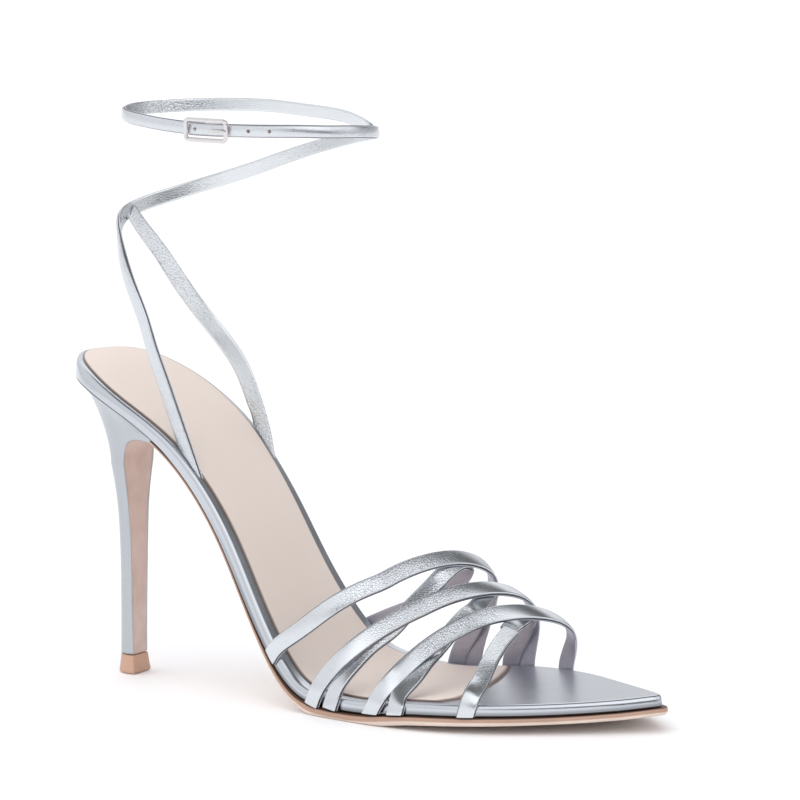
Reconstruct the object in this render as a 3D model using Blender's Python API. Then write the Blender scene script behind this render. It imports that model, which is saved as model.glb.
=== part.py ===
"""High heel sandal, right shoe, size 37. Metres, +Z up, toe toward +X, inner side toward +Y."""
import math

import bmesh
import bpy
import numpy as np

MM = 0.001

# Driving dimensions in millimetres.
LENGTH = 212.0            # heel back to toe tip, level
BALL_WIDTH = 75.5         # across the footbed at the ball
HEEL_HEIGHT = 105.5       # floor to the top of the rim at the back
INSTEP = 41.3             # strap height above the footbed at the joint of the foot
GAP = 0.3                 # air left between two pieces
RAND = 3.9                # thickness of the wrapped footbed
RAND_SEAT = 1.9           # how much thicker it grows toward the heel back
OUTSOLE = 2.3             # thickness of the outsole under the ball
OUTSOLE_WAIST = 1.0       # thickness of the outsole along the waist
SOCK = 0.8                # thickness of the sock lining
SOCK_INSET = 3.3          # silver margin left round the sock
OUTSOLE_OUTSET = 1.5      # ledge of the outsole outside the rand
BREAST_X = 43.0           # where the outsole turns down the heel
STRAP = 1.5               # strap thickness
VAMP_WIDTH = 5.8          # strap width over the toes
BAND_WIDTH = 4.2          # strap width round the ankle
LIFT_HEIGHT = 6.0         # top lift

# Footbed outline: station as a share of the length, half widths as shares of the ball width.
OUTLINE = (
    # station, outer, inner
    (0.000, 0.000, 0.000),
    (0.014, 0.124, 0.124),
    (0.038, 0.215, 0.219),
    (0.071, 0.283, 0.283),
    (0.118, 0.328, 0.332),
    (0.189, 0.335, 0.346),
    (0.283, 0.328, 0.323),
    (0.377, 0.346, 0.298),
    (0.472, 0.400, 0.322),
    (0.542, 0.444, 0.376),
    (0.613, 0.480, 0.446),
    (0.684, 0.489, 0.503),
    (0.741, 0.464, 0.509),
    (0.802, 0.396, 0.462),
    (0.863, 0.300, 0.366),
    (0.915, 0.204, 0.264),
    (0.958, 0.114, 0.160),
    (0.986, 0.045, 0.074),
    (1.000, 0.000, 0.000),
)

# Footbed profile: station as a share of the length, rim height as a share of the heel height,
# and half the height by which the inner rim stands above the outer one, in millimetres.
PROFILE = (
    # station, height, twist
    (0.000, 1.000, 0.2),
    (0.047, 0.986, 0.6),
    (0.094, 0.947, 0.9),
    (0.142, 0.895, 1.0),
    (0.189, 0.836, 1.0),
    (0.236, 0.760, 1.0),
    (0.283, 0.654, 1.1),
    (0.330, 0.517, 1.9),
    (0.377, 0.351, 3.4),
    (0.425, 0.204, 4.2),
    (0.472, 0.1100, 3.3),
    (0.519, 0.0806, 1.8),
    (0.566, 0.0692, 0.7),
    (0.613, 0.0680, 0.0),
    (0.660, 0.0745, -0.3),
    (0.708, 0.0787, -0.4),
    (0.755, 0.0806, -0.5),
    (0.802, 0.0825, -0.5),
    (0.849, 0.0848, -0.5),
    (0.896, 0.0886, -0.5),
    (0.943, 0.0957, -0.4),
    (1.000, 0.1100, -0.2),
)

# Foot arch under the vamp straps: station as a share of the length, height as a share of the instep.
ARCH = (
    # station, height
    (0.401, 1.492),
    (0.495, 1.242),
    (0.590, 1.000),
    (0.684, 0.782),
    (0.778, 0.542),
    (0.873, 0.310),
)

# Top straps over the toes: station of the outer foot in millimetres from the heel back, how far the strap
# slants forward as it climbs, station that the plan line aims at on the inner side, its forward bow, height
# share, skew and fullness of the arch, and the station of the inner foot, reached down the inner wall.
TOP_STRAPS = (
    # name, outer, climb, inner, bow, height, skew, full, foot
    ("top_back", 87.3, 21.2, 136.7, 1.6, 0.988, 2.12, 0.183, 127.0),
    ("top_middle", 104.7, 14.2, 148.2, -4.8, 0.791, 3.19, 0.183, 144.0),
    ("top_front", 128.8, 12.7, 162.6, -9.7, 0.711, 3.10, 0.189, 158.5),
)

# Under straps: stations of the outer and the inner foot, and the way between them below the top straps.
UNDER_STRAPS = (
    # name, outer, foot, way of x, y, z
    ("under_back", 113.0, 95.0, (
        (115.6, -31.0, 13.2),
        (117.4, -27.6, 17.2),
        (119.0, -22.9, 21.4),
        (123.3, -15.0, 27.3),
        (126.1, -6.2, 33.4),
        (128.7, 4.4, 39.0),
        (131.0, 16.5, 43.9),
        (131.2, 21.5, 43.6),
        (129.8, 25.4, 41.0),
        (125.0, 28.4, 36.0),
        (117.0, 29.2, 30.0),
        (107.5, 27.9, 24.8),
        (100.0, 26.1, 21.3),
    )),
    ("under_middle", 137.8, 121.5, (
        (141.2, -35.2, 12.5),
        (142.5, -29.8, 17.1),
        (142.4, -21.6, 21.2),
        (140.9, -11.6, 24.7),
        (139.9, 1.0, 29.4),
        (140.1, 14.3, 33.4),
        (139.5, 21.5, 35.2),
        (138.2, 27.0, 36.0),
        (136.2, 30.4, 34.0),
        (132.6, 32.2, 28.6),
        (128.4, 32.3, 20.6),
        (124.6, 32.2, 13.4),
    )),
    ("under_front", 161.6, 138.5, (
        (162.9, -29.6, 13.7),
        (162.4, -24.2, 17.6),
        (161.1, -17.2, 21.2),
        (159.3, -8.2, 24.6),
        (156.8, 4.0, 27.2),
        (152.6, 20.5, 29.0),
        (151.0, 27.0, 28.3),
        (149.4, 31.6, 27.0),
        (146.4, 35.2, 23.0),
        (142.8, 36.8, 16.4),
        (140.2, 37.2, 11.4),
    )),
)
UNDER_SLIDE = 1.4         # how far an under strap moves forward as it comes up past the rand
FORWARD_LEAN = 1.0        # how far the faces of the toe straps lean toward the toe
UP_LEAN = 0.66            # and up, against outward

# Heel: height, back and front stations and half width of each level section, in millimetres.
HEEL = (
    # height, back, front, half_width
    (6.4, 14.4, 19.8, 4.4),
    (24.0, 14.7, 19.6, 4.7),
    (46.0, 14.5, 19.5, 5.1),
    (58.0, 13.9, 19.5, 6.1),
    (70.0, 12.4, 20.2, 9.0),
)

# Long strap from the outer waist round the back, the inner side and the front to the buckle.
MAIN_STRAP = (
    # x, y, z
    (52.0, -22.6, 81.0),
    (48.4, -23.6, 91.7),
    (45.0, -24.6, 102.0),
    (41.6, -25.2, 111.5),
    (38.2, -25.4, 121.7),
    (33.6, -24.2, 130.3),
    (27.6, -20.0, 139.2),
    (21.6, -12.6, 145.6),
    (18.2, -7.0, 149.0),
    (16.9, -2.0, 151.6),
    (17.5, 3.0, 153.0),
    (19.6, 8.0, 154.4),
    (23.8, 13.4, 156.2),
    (30.2, 19.4, 158.7),
    (39.2, 25.0, 161.9),
    (50.2, 28.6, 165.9),
    (65.7, 30.0, 171.6),
    (77.0, 28.5, 175.0),
    (90.6, 23.4, 178.6),
    (99.4, 17.0, 180.6),
    (105.6, 8.0, 182.2),
    (107.2, -0.5, 183.2),
    (105.6, -8.4, 183.9),
    (100.8, -15.9, 184.3),
    (94.4, -21.3, 184.6),
    (85.7, -25.9, 184.6),
    (75.2, -29.0, 184.5),
    (65.0, -30.0, 184.4),
    (58.6, -29.9, 184.4),
)

# Strap from the inner waist, joined inside the long strap at the back.
INNER_STRAP = (
    # x, y, z
    (53.4, 24.0, 81.0),
    (48.5, 25.8, 91.6),
    (44.0, 26.8, 99.6),
    (36.5, 27.0, 108.6),
    (29.6, 25.4, 117.0),
    (24.6, 21.8, 125.6),
    (21.4, 16.0, 134.8),
    (19.9, 10.4, 141.3),
    (18.8, 4.6, 147.3),
    (18.2, 1.6, 150.8),
    (18.0, 0.2, 152.2),
)

# Buckle end of the ankle strap, from the buckle round the back to the inner front.
BUCKLE_STRAP = (
    # x, y, z
    (63.4, -28.7, 184.4),
    (56.8, -28.7, 184.5),
    (51.0, -28.5, 184.8),
    (44.4, -27.1, 185.1),
    (36.9, -23.9, 185.4),
    (28.4, -18.2, 185.5),
    (22.6, -11.0, 185.6),
    (19.6, -3.0, 185.6),
    (19.9, 4.4, 185.6),
    (22.9, 11.6, 185.6),
    (33.4, 22.0, 185.9),
    (44.1, 27.0, 186.0),
    (54.4, 29.3, 185.9),
    (66.5, 29.9, 185.2),
    (79.6, 27.9, 184.6),
    (90.0, 23.0, 183.6),
    (97.4, 17.2, 182.4),
    (101.8, 11.0, 182.6),
)

# Buckle: centre on the outer side of the ankle, outer size along and across the band.
BUCKLE_CENTRE = (65.8, -30.0, 184.4)
BUCKLE_LONG = 16.2
BUCKLE_TALL = 7.8
WIRE = 0.7                # radius of the frame wire
PIN = 0.5                 # radius of the prong


def column(table, index):
    """One column of a table as an array."""
    return np.array([row[index] for row in table], dtype=float)


def natural_spline(knots, values):
    """Natural cubic spline through the given values, as a function."""
    n = len(knots)
    step = np.diff(knots)
    matrix = np.eye(n)
    right = np.zeros(n)
    for i in range(1, n - 1):
        matrix[i, i - 1] = step[i - 1]
        matrix[i, i] = 2.0 * (step[i - 1] + step[i])
        matrix[i, i + 1] = step[i]
        right[i] = 3.0 * ((values[i + 1] - values[i]) / step[i] - (values[i] - values[i - 1]) / step[i - 1])
    curve = np.linalg.solve(matrix, right)

    def value(at):
        at = np.asarray(at, dtype=float)
        k = np.clip(np.searchsorted(knots, at) - 1, 0, n - 2)
        t = at - knots[k]
        b = (values[k + 1] - values[k]) / step[k] - step[k] * (2.0 * curve[k] + curve[k + 1]) / 3.0
        d = (curve[k + 1] - curve[k]) / (3.0 * step[k])
        return values[k] + t * (b + t * (curve[k] + t * d))

    return value


def path_spline(points, count):
    """Even points along a spline through the waypoints, spaced by length."""
    points = np.asarray(points, dtype=float)
    chord = np.concatenate([[0.0], np.cumsum(np.linalg.norm(np.diff(points, axis=0), axis=1))])
    axes = [natural_spline(chord, points[:, i]) for i in range(points.shape[1])]
    fine = np.linspace(0.0, chord[-1], 1200)
    dense = np.stack([axis(fine) for axis in axes], axis=1)
    run = np.concatenate([[0.0], np.cumsum(np.linalg.norm(np.diff(dense, axis=0), axis=1))])
    even = np.linspace(0.0, run[-1], count)
    return np.stack([np.interp(even, run, dense[:, i]) for i in range(points.shape[1])], axis=1)


def outline_loop():
    """Dense half outlines: x and outer half width, x and inner half width."""
    x = column(OUTLINE, 0) * LENGTH
    outer = np.stack([x, column(OUTLINE, 1) * BALL_WIDTH], axis=1)
    inner = np.stack([x, column(OUTLINE, 2) * BALL_WIDTH], axis=1)
    mirror = np.array([1.0, -1.0])
    loop = np.concatenate([outer[2:0:-1] * mirror, outer, inner[-2:-4:-1] * mirror])
    other = np.concatenate([inner[2:0:-1] * mirror, inner, outer[-2:-4:-1] * mirror])
    dense = []
    for side in (loop, other):
        line = path_spline(side, 3000)
        start = int(np.argmin(np.abs(line[:1500, 1]) + 10.0 * (line[:1500, 0] > 30.0)))
        stop = 1500 + int(np.argmin(np.abs(line[1500:, 1]) + 10.0 * (line[1500:, 0] < 180.0)))
        dense.append(line[start:stop + 1])
    return dense


OUTER_LINE, INNER_LINE = outline_loop()
rim_height = natural_spline(column(PROFILE, 0) * LENGTH, column(PROFILE, 1) * HEEL_HEIGHT)
rim_twist = natural_spline(column(PROFILE, 0) * LENGTH, column(PROFILE, 2))


def half_width(line, x):
    """Half width of one side of the outline at the station x."""
    return np.interp(x, line[:, 0], np.maximum(line[:, 1], 0.0))


def footbed_top(x, y):
    """Height of the footbed's top above the floor."""
    reach = np.maximum(np.where(y < 0.0, half_width(OUTER_LINE, x), half_width(INNER_LINE, x)), 12.0)
    across = np.clip(np.asarray(y) / reach, -1.2, 1.2)
    level = rim_height(np.clip(x, 0.0, LENGTH))
    return level + rim_twist(np.clip(x, 0.0, LENGTH)) * across


def sole_normal(x):
    """Unit normal of the footbed's middle line, pointing up, one row for each station."""
    x = np.clip(np.asarray(x, dtype=float), 0.5, LENGTH - 0.5)
    slope = (rim_height(x + 0.5) - rim_height(x - 0.5)) / 1.0
    size = np.sqrt(1.0 + slope * slope)
    return np.stack([-slope / size, np.zeros_like(x), 1.0 / size], axis=-1)


def on_sole(plan, depth):
    """Points below the footbed's top by a depth along its normal."""
    plan = np.asarray(plan, dtype=float)
    top = np.stack([plan[..., 0], plan[..., 1], footbed_top(plan[..., 0], plan[..., 1])], axis=-1)
    return top - np.asarray(depth)[..., None] * sole_normal(plan[..., 0])


def rand_depth(x):
    """Thickness of the wrapped footbed at the station x, greater toward the heel back."""
    near = np.clip(1.0 - np.asarray(x, dtype=float) / 36.0, 0.0, 1.0)
    return RAND + RAND_SEAT * near * near * (3.0 - 2.0 * near)


def outsole_depth(x):
    """Thickness of the outsole at the station x, thin along the waist."""
    front = np.clip((np.asarray(x, dtype=float) - 78.0) / 34.0, 0.0, 1.0)
    return OUTSOLE_WAIST + (OUTSOLE - OUTSOLE_WAIST) * front * front * (3.0 - 2.0 * front)


def inset_line(line, inset):
    """A half outline moved in by an inset, cut where it would cross the middle line."""
    along = np.gradient(line, axis=0)
    along /= np.linalg.norm(along, axis=1)[:, None]
    moved = line - inset * np.stack([-along[:, 1], along[:, 0]], axis=1)
    kept = moved[moved[:, 1] > 0.0]
    kept[:, 0] = np.maximum.accumulate(kept[:, 0])
    return kept


def side_points(stations, inset):
    """Plan points of the outer and the inner side moved in from the outline by an inset."""
    lines = [inset_line(line, inset) for line in (OUTER_LINE, INNER_LINE)]
    first = max(lines[0][0, 0], lines[1][0, 0]) if inset > 0.0 else min(lines[0][0, 0], lines[1][0, 0])
    final = min(lines[0][-1, 0], lines[1][-1, 0]) if inset > 0.0 else max(lines[0][-1, 0], lines[1][-1, 0])
    x = first + (final - first) * stations / LENGTH
    sides = []
    for line, sign in zip(lines, (-1.0, 1.0)):
        y = np.interp(x, line[:, 0], line[:, 1])
        y = np.where((stations < 0.01) | (stations > LENGTH - 0.01), 0.0, y)
        sides.append(np.stack([x, sign * y], axis=1))
    return sides


def finish(name, vertices, faces, material):
    """A closed mesh object from millimetre points."""
    mesh = bpy.data.meshes.new(name)
    mesh.from_pydata([tuple(v) for v in np.asarray(vertices) * MM], [], faces)
    build = bmesh.new()
    build.from_mesh(mesh)
    bmesh.ops.remove_doubles(build, verts=build.verts, dist=0.00002)
    bmesh.ops.dissolve_degenerate(build, edges=build.edges, dist=0.00001)
    bmesh.ops.triangulate(build, faces=build.faces)
    bmesh.ops.recalc_face_normals(build, faces=build.faces)
    build.to_mesh(mesh)
    build.free()
    mesh.materials.append(material)
    piece = bpy.data.objects.new(name, mesh)
    SHOE.objects.link(piece)
    return piece


def sole_layer(name, stations, rows, columns, material, front_arc=0.0, flat=False):
    """A layer that follows the footbed: rows of (inset, depth) from the top face round to the bottom one.
    A depth is one number or one for each station."""
    count = len(stations)
    vertices = []
    faces = []
    loops = []
    for inset, depth in rows:
        outer, inner = side_points(stations, inset)
        index = []
        for plan in (outer, inner):
            block = on_sole(plan, np.broadcast_to(depth, count))
            index.append(len(vertices) + np.arange(count))
            vertices.extend(block)
        loops.append(index)
    for upper, lower in zip(loops[:-1], loops[1:]):
        for side in (0, 1):
            for k in range(count - 1):
                a, b = upper[side][k], upper[side][k + 1]
                faces.append((a, b, lower[side][k + 1], lower[side][k]))
    caps = []
    for row, loop in ((rows[0], loops[0]), (rows[-1], loops[-1])):
        outer, inner = side_points(stations, row[0])
        grid = [loop[0]]
        for c in range(1, columns):
            share = c / columns
            plan = outer * (1.0 - share) + inner * share
            index = len(vertices) + np.arange(count)
            vertices.extend(on_sole(plan, np.broadcast_to(row[1], count)))
            grid.append(index)
        grid.append(loop[1])
        for c in range(columns):
            for k in range(count - 1):
                faces.append((grid[c][k], grid[c + 1][k], grid[c + 1][k + 1], grid[c][k + 1]))
        caps.append(grid)
    for k in (0, count - 1):
        if (k == 0 and stations[0] < 0.01) or (k > 0 and stations[-1] > LENGTH - 0.01):
            continue
        ring = [g[k] for g in caps[0]]
        ring += [loop[1][k] for loop in loops[1:]]
        ring += [g[k] for g in reversed(caps[1])][1:]
        ring += [loop[0][k] for loop in reversed(loops[1:-1])]
        faces.append(tuple(ring))
    points = np.array(vertices)
    if front_arc > 0.0:
        share = np.clip(points[:, 0] / stations[-1], 0.0, 1.0) ** 10
        across = points[:, 1] / 34.0
        move = front_arc * share * (1.0 - np.clip(across, -1.0, 1.0) ** 2)
        moved = points[:, 0] + move
        points[:, 2] += footbed_top(moved, points[:, 1]) - footbed_top(points[:, 0], points[:, 1])
        points[:, 0] = moved
    if flat:
        low = points[:, 2]
        points[:, 2] = np.where(low < 3.0, np.maximum(low - 0.9, 0.0) * 3.0 / 2.1, low)
    return finish(name, points, faces, material)


def ribbon(points, outward, widths, thick, lean=None):
    """Closed ribbon along a path: outward is the face direction, lean slants the first sections."""
    points = np.asarray(points, dtype=float)
    tangent = np.gradient(points, axis=0)
    tangent /= np.linalg.norm(tangent, axis=1)[:, None]
    face = outward - (outward * tangent).sum(1)[:, None] * tangent
    face /= np.linalg.norm(face, axis=1)[:, None]
    across = np.cross(tangent, face)
    if lean is not None:
        direction, share = lean
        for i in range(len(points)):
            if share[i] <= 0.0:
                continue
            slant = direction[i] - (direction[i] @ face[i]) * face[i]
            slant /= slant @ across[i]
            across[i] = across[i] * (1.0 - share[i]) + slant * share[i]
    half = np.asarray(widths)[:, None] / 2.0
    edge = 0.55
    shape = (
        (-1.0, 0.0, 0.0),
        (-1.0, edge, 0.5),
        (0.0, 0.0, 0.58),
        (1.0, -edge, 0.5),
        (1.0, 0.0, 0.0),
        (1.0, -edge, -0.5),
        (-1.0, edge, -0.5),
    )
    rings = [points + across * (side * half + inward) + face * (lift * thick) for side, inward, lift in shape]
    vertices = np.stack(rings, axis=1).reshape(-1, 3)
    n = len(shape)
    count = len(points)
    faces = []
    for i in range(count - 1):
        for j in range(n):
            a = i * n + j
            b = i * n + (j + 1) % n
            faces.append((a, b, b + n, a + n))
    faces.append(tuple(range(n)))
    faces.append(tuple(range((count - 1) * n, count * n)))
    return vertices, faces


def fuse(name, pieces):
    """Join overlapping pieces into one solid."""
    base = pieces[0]
    base.name = name
    base.data.name = name
    for other in pieces[1:]:
        step = base.modifiers.new("join", "BOOLEAN")
        step.operation = "UNION"
        step.solver = "EXACT"
        step.object = other
        SHOE.objects.unlink(other)
        CUTTERS.objects.link(other)
        other.hide_render = True
        other.display_type = "WIRE"
    return base


def material(name, colour, metallic, roughness):
    """A plain Principled material."""
    made = bpy.data.materials.new(name)
    made.use_nodes = True
    shader = made.node_tree.nodes["Principled BSDF"]
    shader.inputs["Base Color"].default_value = (*colour, 1.0)
    shader.inputs["Metallic"].default_value = metallic
    shader.inputs["Roughness"].default_value = roughness
    return made


for old in list(bpy.data.objects):
    bpy.data.objects.remove(old, do_unlink=True)
SHOE = bpy.data.collections.new("high heel sandal")
CUTTERS = bpy.data.collections.new("joined straps")
bpy.context.scene.collection.children.link(SHOE)
bpy.context.scene.collection.children.link(CUTTERS)

SILVER = (0.74, 0.76, 0.79)
NUDE = (0.74, 0.62, 0.53)
TAN = (0.55, 0.38, 0.26)

# Footbed: a board wrapped in silver leather, rounded edge all round.
stations = LENGTH * (1.0 - np.cos(np.pi * np.linspace(0.0, 1.0, 49))) / 2.0
stations[0] = 0.0
rand = rand_depth(stations)
rand_rows = ((1.6, 0.0), (0.5, 0.35), (0.0, 1.3), (0.0, rand - 1.3), (0.35, rand - 0.35), (1.2, rand))
footbed = sole_layer("footbed", stations, rand_rows, 4, material("footbed_silver_leather", SILVER, 0.8, 0.3))

# Sock: thin lining on the footbed, from the heel to a rounded edge at the ball.
sock_stations = 143.0 * (1.0 - np.cos(np.pi * np.linspace(0.0, 0.5, 36)))
sock_rows = ((SOCK_INSET + 0.3, -GAP - SOCK), (SOCK_INSET, -GAP - 0.4), (SOCK_INSET, -GAP))
sock_stations[0] = 0.0
sock = sole_layer("sock", sock_stations, sock_rows, 4, material("sock_nude_leather", NUDE, 0.0, 0.6), front_arc=10.0)

# Outsole: leather under the footbed, from the heel breast to the toe, flat under the ball.
share = np.linspace(0.0, 1.0, 38)
sole_stations = BREAST_X + (LENGTH - BREAST_X) * np.sin(0.5 * np.pi * share)
sole_stations[-1] = LENGTH
top = rand_depth(sole_stations) + GAP
thick = outsole_depth(sole_stations)
sole_rows = (
    (0.6, top),
    (-OUTSOLE_OUTSET, top + 0.2),
    (-OUTSOLE_OUTSET, top + 0.6 * thick),
    (-OUTSOLE_OUTSET + 0.8, top + thick),
)
outsole = sole_layer("outsole", sole_stations, sole_rows, 4, material("outsole_leather", NUDE, 0.0, 0.5), flat=True)


def heel_section(level, back, front, width, count=14):
    """A level section: flat breast in front, rounded back, as points from the outer front corner."""
    angle = np.linspace(0.0, math.pi, count)
    depth = front - back
    x = front - depth * np.sin(angle) ** 0.85
    y = -width * np.cos(angle)
    return np.stack([x, y, np.full(count, level)], axis=1)


# Heel: level sections up to the cup, then a top edge that follows the underside of the footbed.
rings = []
levels = np.linspace(HEEL[0][0], HEEL[-1][0], 16)
heel_back = natural_spline(column(HEEL, 0), column(HEEL, 1))
heel_front = natural_spline(column(HEEL, 0), column(HEEL, 2))
heel_half = natural_spline(column(HEEL, 0), column(HEEL, 3))
SIDE = 14
for level in levels:
    rings.append(heel_section(level, float(heel_back(level)), float(heel_front(level)), float(heel_half(level)), SIDE))
edge = np.linspace(0.0, math.pi, SIDE)
plan_x = BREAST_X - (BREAST_X - 1.4) * np.sin(edge) ** 0.9
outer_half = half_width(OUTER_LINE, plan_x) - 1.3
inner_half = half_width(INNER_LINE, plan_x) - 1.3
plan_y = np.where(edge < math.pi / 2, -outer_half, inner_half)
under = on_sole(np.stack([plan_x, plan_y], axis=1), rand_depth(plan_x) + GAP)
last = rings[-1]
behind = np.sin(edge) ** 0.7
for blend in np.linspace(0.0, 1.0, 11)[1:]:
    out = blend ** (2.3 - 1.0 * behind)
    rise = 1.0 - (1.0 - blend) ** (2.2 - 1.0 * behind)
    ring = last * (1.0 - out)[:, None] + under * out[:, None]
    ring[:, 2] = last[:, 2] * (1.0 - rise) + under[:, 2] * rise
    rings.append(ring)
heel_points = np.concatenate(rings)
heel_faces = []
for i in range(len(rings) - 1):
    for j in range(SIDE):
        a = i * SIDE + j
        b = i * SIDE + (j + 1) % SIDE
        heel_faces.append((a, b, b + SIDE, a + SIDE))
heel_faces.append(tuple(range(SIDE)))
cap = (len(rings) - 1) * SIDE
# The top face is laid in strips from side to side so that it follows the footbed.
for j in range(SIDE // 2 - 1):
    heel_faces.append((cap + j, cap + j + 1, cap + SIDE - 2 - j, cap + SIDE - 1 - j))
heel = finish("heel", heel_points, heel_faces, material("heel_silver_leather", SILVER, 0.7, 0.3))

# Breast flap: the outsole leather carried down the front of the heel.
flap_thick = 1.0
corners = np.array([(ring[0], ring[-1]) for ring in rings[:-1]])
middle = corners.mean(axis=1)
along = np.gradient(middle[:, (0, 2)], axis=0)
along /= np.linalg.norm(along, axis=1)[:, None]
ahead = np.stack([along[:, 1], np.zeros(len(along)), -along[:, 0]], axis=1)
flap_points = []
for pair, normal in zip(corners, ahead):
    for depth in (GAP, GAP + flap_thick):
        for share in (0.01, 0.25, 0.5, 0.75, 0.99):
            flap_points.append(pair[0] * (1.0 - share) + pair[1] * share + normal * depth)
flap_faces = []
rows = len(corners)
for i in range(rows - 1):
    base = i * 10
    loop = (0, 1, 2, 3, 4, 9, 8, 7, 6, 5)
    for j in range(10):
        a = base + loop[j]
        b = base + loop[(j + 1) % 10]
        flap_faces.append((a, b, b + 10, a + 10))
flap_faces.append((0, 1, 2, 3, 4, 9, 8, 7, 6, 5))
end = (rows - 1) * 10
flap_faces.append(tuple(end + k for k in (0, 1, 2, 3, 4, 9, 8, 7, 6, 5)))
flap = finish("breast_flap", flap_points, flap_faces, material("breast_leather", NUDE, 0.0, 0.5))

# Top lift: flared tan block under the heel.
lift_rings = []
for level, grow in ((0.0, 0.7), (0.3, 0.75), (LIFT_HEIGHT, 0.1)):
    lift_rings.append(heel_section(level, HEEL[0][1] - grow, HEEL[0][2] + 1.2 + grow, HEEL[0][3] + grow, SIDE))
lift_faces = []
for i in range(2):
    for j in range(SIDE):
        a = i * SIDE + j
        b = i * SIDE + (j + 1) % SIDE
        lift_faces.append((a, b, b + SIDE, a + SIDE))
lift_faces.append(tuple(range(SIDE)))
lift_faces.append(tuple(range(2 * SIDE, 3 * SIDE)))
lift = finish("top_lift", np.concatenate(lift_rings), lift_faces, material("top_lift_rubber", TAN, 0.0, 0.6))

# Vamp straps: six ribbons over the foot arch, their feet outside the rand.
VAMP_STEPS = 43
STRAP_OUT = STRAP / 2.0 + GAP + 0.2
arch_height = natural_spline(column(ARCH, 0) * LENGTH, column(ARCH, 1) * INSTEP)


def edge_slope(line, x):
    """How fast one side of the outline widens toward the toe at the station x."""
    return (half_width(line, x + 2.0) - half_width(line, x - 2.0)) / 4.0


def foot_point(x, share, height, skew, full):
    """A point of the foot arch: share runs from the outer rim to the inner one."""
    low = -half_width(OUTER_LINE, x) - STRAP_OUT * np.hypot(1.0, edge_slope(OUTER_LINE, x))
    high = half_width(INNER_LINE, x) + STRAP_OUT * np.hypot(1.0, edge_slope(INNER_LINE, x))
    y = low + (high - low) * share
    rise = np.maximum(np.sin(np.pi * np.clip(share, 0.0, 1.0) ** skew), 0.0) ** full
    z = footbed_top(x, y) + 0.5 + (height * arch_height(x) - 0.5) * rise
    return np.stack([x, y, z], axis=-1)


def strap_end(station, side):
    """Rim point and low end of a toe strap at a station, outside the rand of the outer or the inner side."""
    rim = foot_point(np.array([station]), np.array([side]), 1.0, 2.0, 0.3)[0]
    rim[2] = footbed_top(station, rim[1]) + 0.4
    return rim, rim - sole_normal(station) * (RAND + 0.2)


def top_path(outer, climb, inner, bow, height, skew, full, foot):
    """Middle line of a top strap from its outer foot over the arch and down the inner wall to its inner foot."""
    share = np.concatenate([np.linspace(0.012, 0.12, 7), np.linspace(0.17, 0.86, 20), np.linspace(0.89, 0.99, 8)])
    rise = np.sin(np.pi * share ** skew) ** full
    wall = np.where(share > 0.8, np.maximum(1.0 - rise / 0.9, 0.0), 0.0)
    edge = outer + climb / (0.8 * height * float(arch_height(outer))) * (RAND + 0.2)
    x = edge + (inner - edge) * share + bow * np.sin(np.pi * share) - (inner - foot) * wall
    x += climb * np.minimum(rise / 0.8, 1.0) * (1.0 - share)
    middle = foot_point(x, share, height, skew, full)
    first_rim = strap_end(edge, 0.0)[0]
    first_low = strap_end(edge, 0.0)[1]
    first_low[0] = outer
    first_low[1] = strap_end(outer, 0.0)[1][1]
    last_rim, last_low = strap_end(foot, 1.0)
    return path_spline(np.concatenate([[first_low, first_rim], middle, [last_rim, last_low]]), VAMP_STEPS)


def under_path(outer, foot, way):
    """Middle line of an under strap through its waypoints."""
    first_rim = strap_end(outer + UNDER_SLIDE, 0.0)[0] + np.array([0.0, 0.0, 1.3])
    first_low = strap_end(outer, 0.0)[1]
    last_rim, last_low = strap_end(foot, 1.0)
    return path_spline(np.concatenate([[first_low, first_rim], way, [last_rim, last_low]]), VAMP_STEPS)


def crossing(a, b):
    """Shares along two plan lines where they cross, or nothing."""
    found = []
    for i in range(len(a) - 1):
        p, r = a[i, :2], a[i + 1, :2] - a[i, :2]
        for j in range(len(b) - 1):
            q, s = b[j, :2], b[j + 1, :2] - b[j, :2]
            area = r[0] * s[1] - r[1] * s[0]
            if abs(area) < 1e-9:
                continue
            d = q - p
            t = (d[0] * s[1] - d[1] * s[0]) / area
            u = (d[0] * r[1] - d[1] * r[0]) / area
            if 0.0 <= t < 1.0 and 0.0 <= u < 1.0:
                found.append((i + t, j + u))
    return found


vamp_lines = {row[0]: top_path(*row[1:]) for row in TOP_STRAPS}
for row in UNDER_STRAPS:
    line = under_path(*row[1:])
    knots = [0.0, 4.0, len(line) - 10.0, len(line) - 1.0]
    moves = [0.0, 0.0, 0.0, 0.0]
    for upper in TOP_STRAPS:
        top_line = vamp_lines[upper[0]]
        for at, other in crossing(line, top_line):
            mine = np.interp(at, np.arange(len(line)), line[:, 2])
            theirs = np.interp(other, np.arange(len(top_line)), top_line[:, 2])
            if 5.0 < at < len(line) - 14.0:
                knots.append(at)
                moves.append(theirs - 1.15 - mine)
    order = np.argsort(knots)
    line[:, 2] += np.interp(np.arange(len(line)), np.array(knots)[order], np.array(moves)[order])
    vamp_lines[row[0]] = path_spline(line[::3], VAMP_STEPS)

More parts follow.
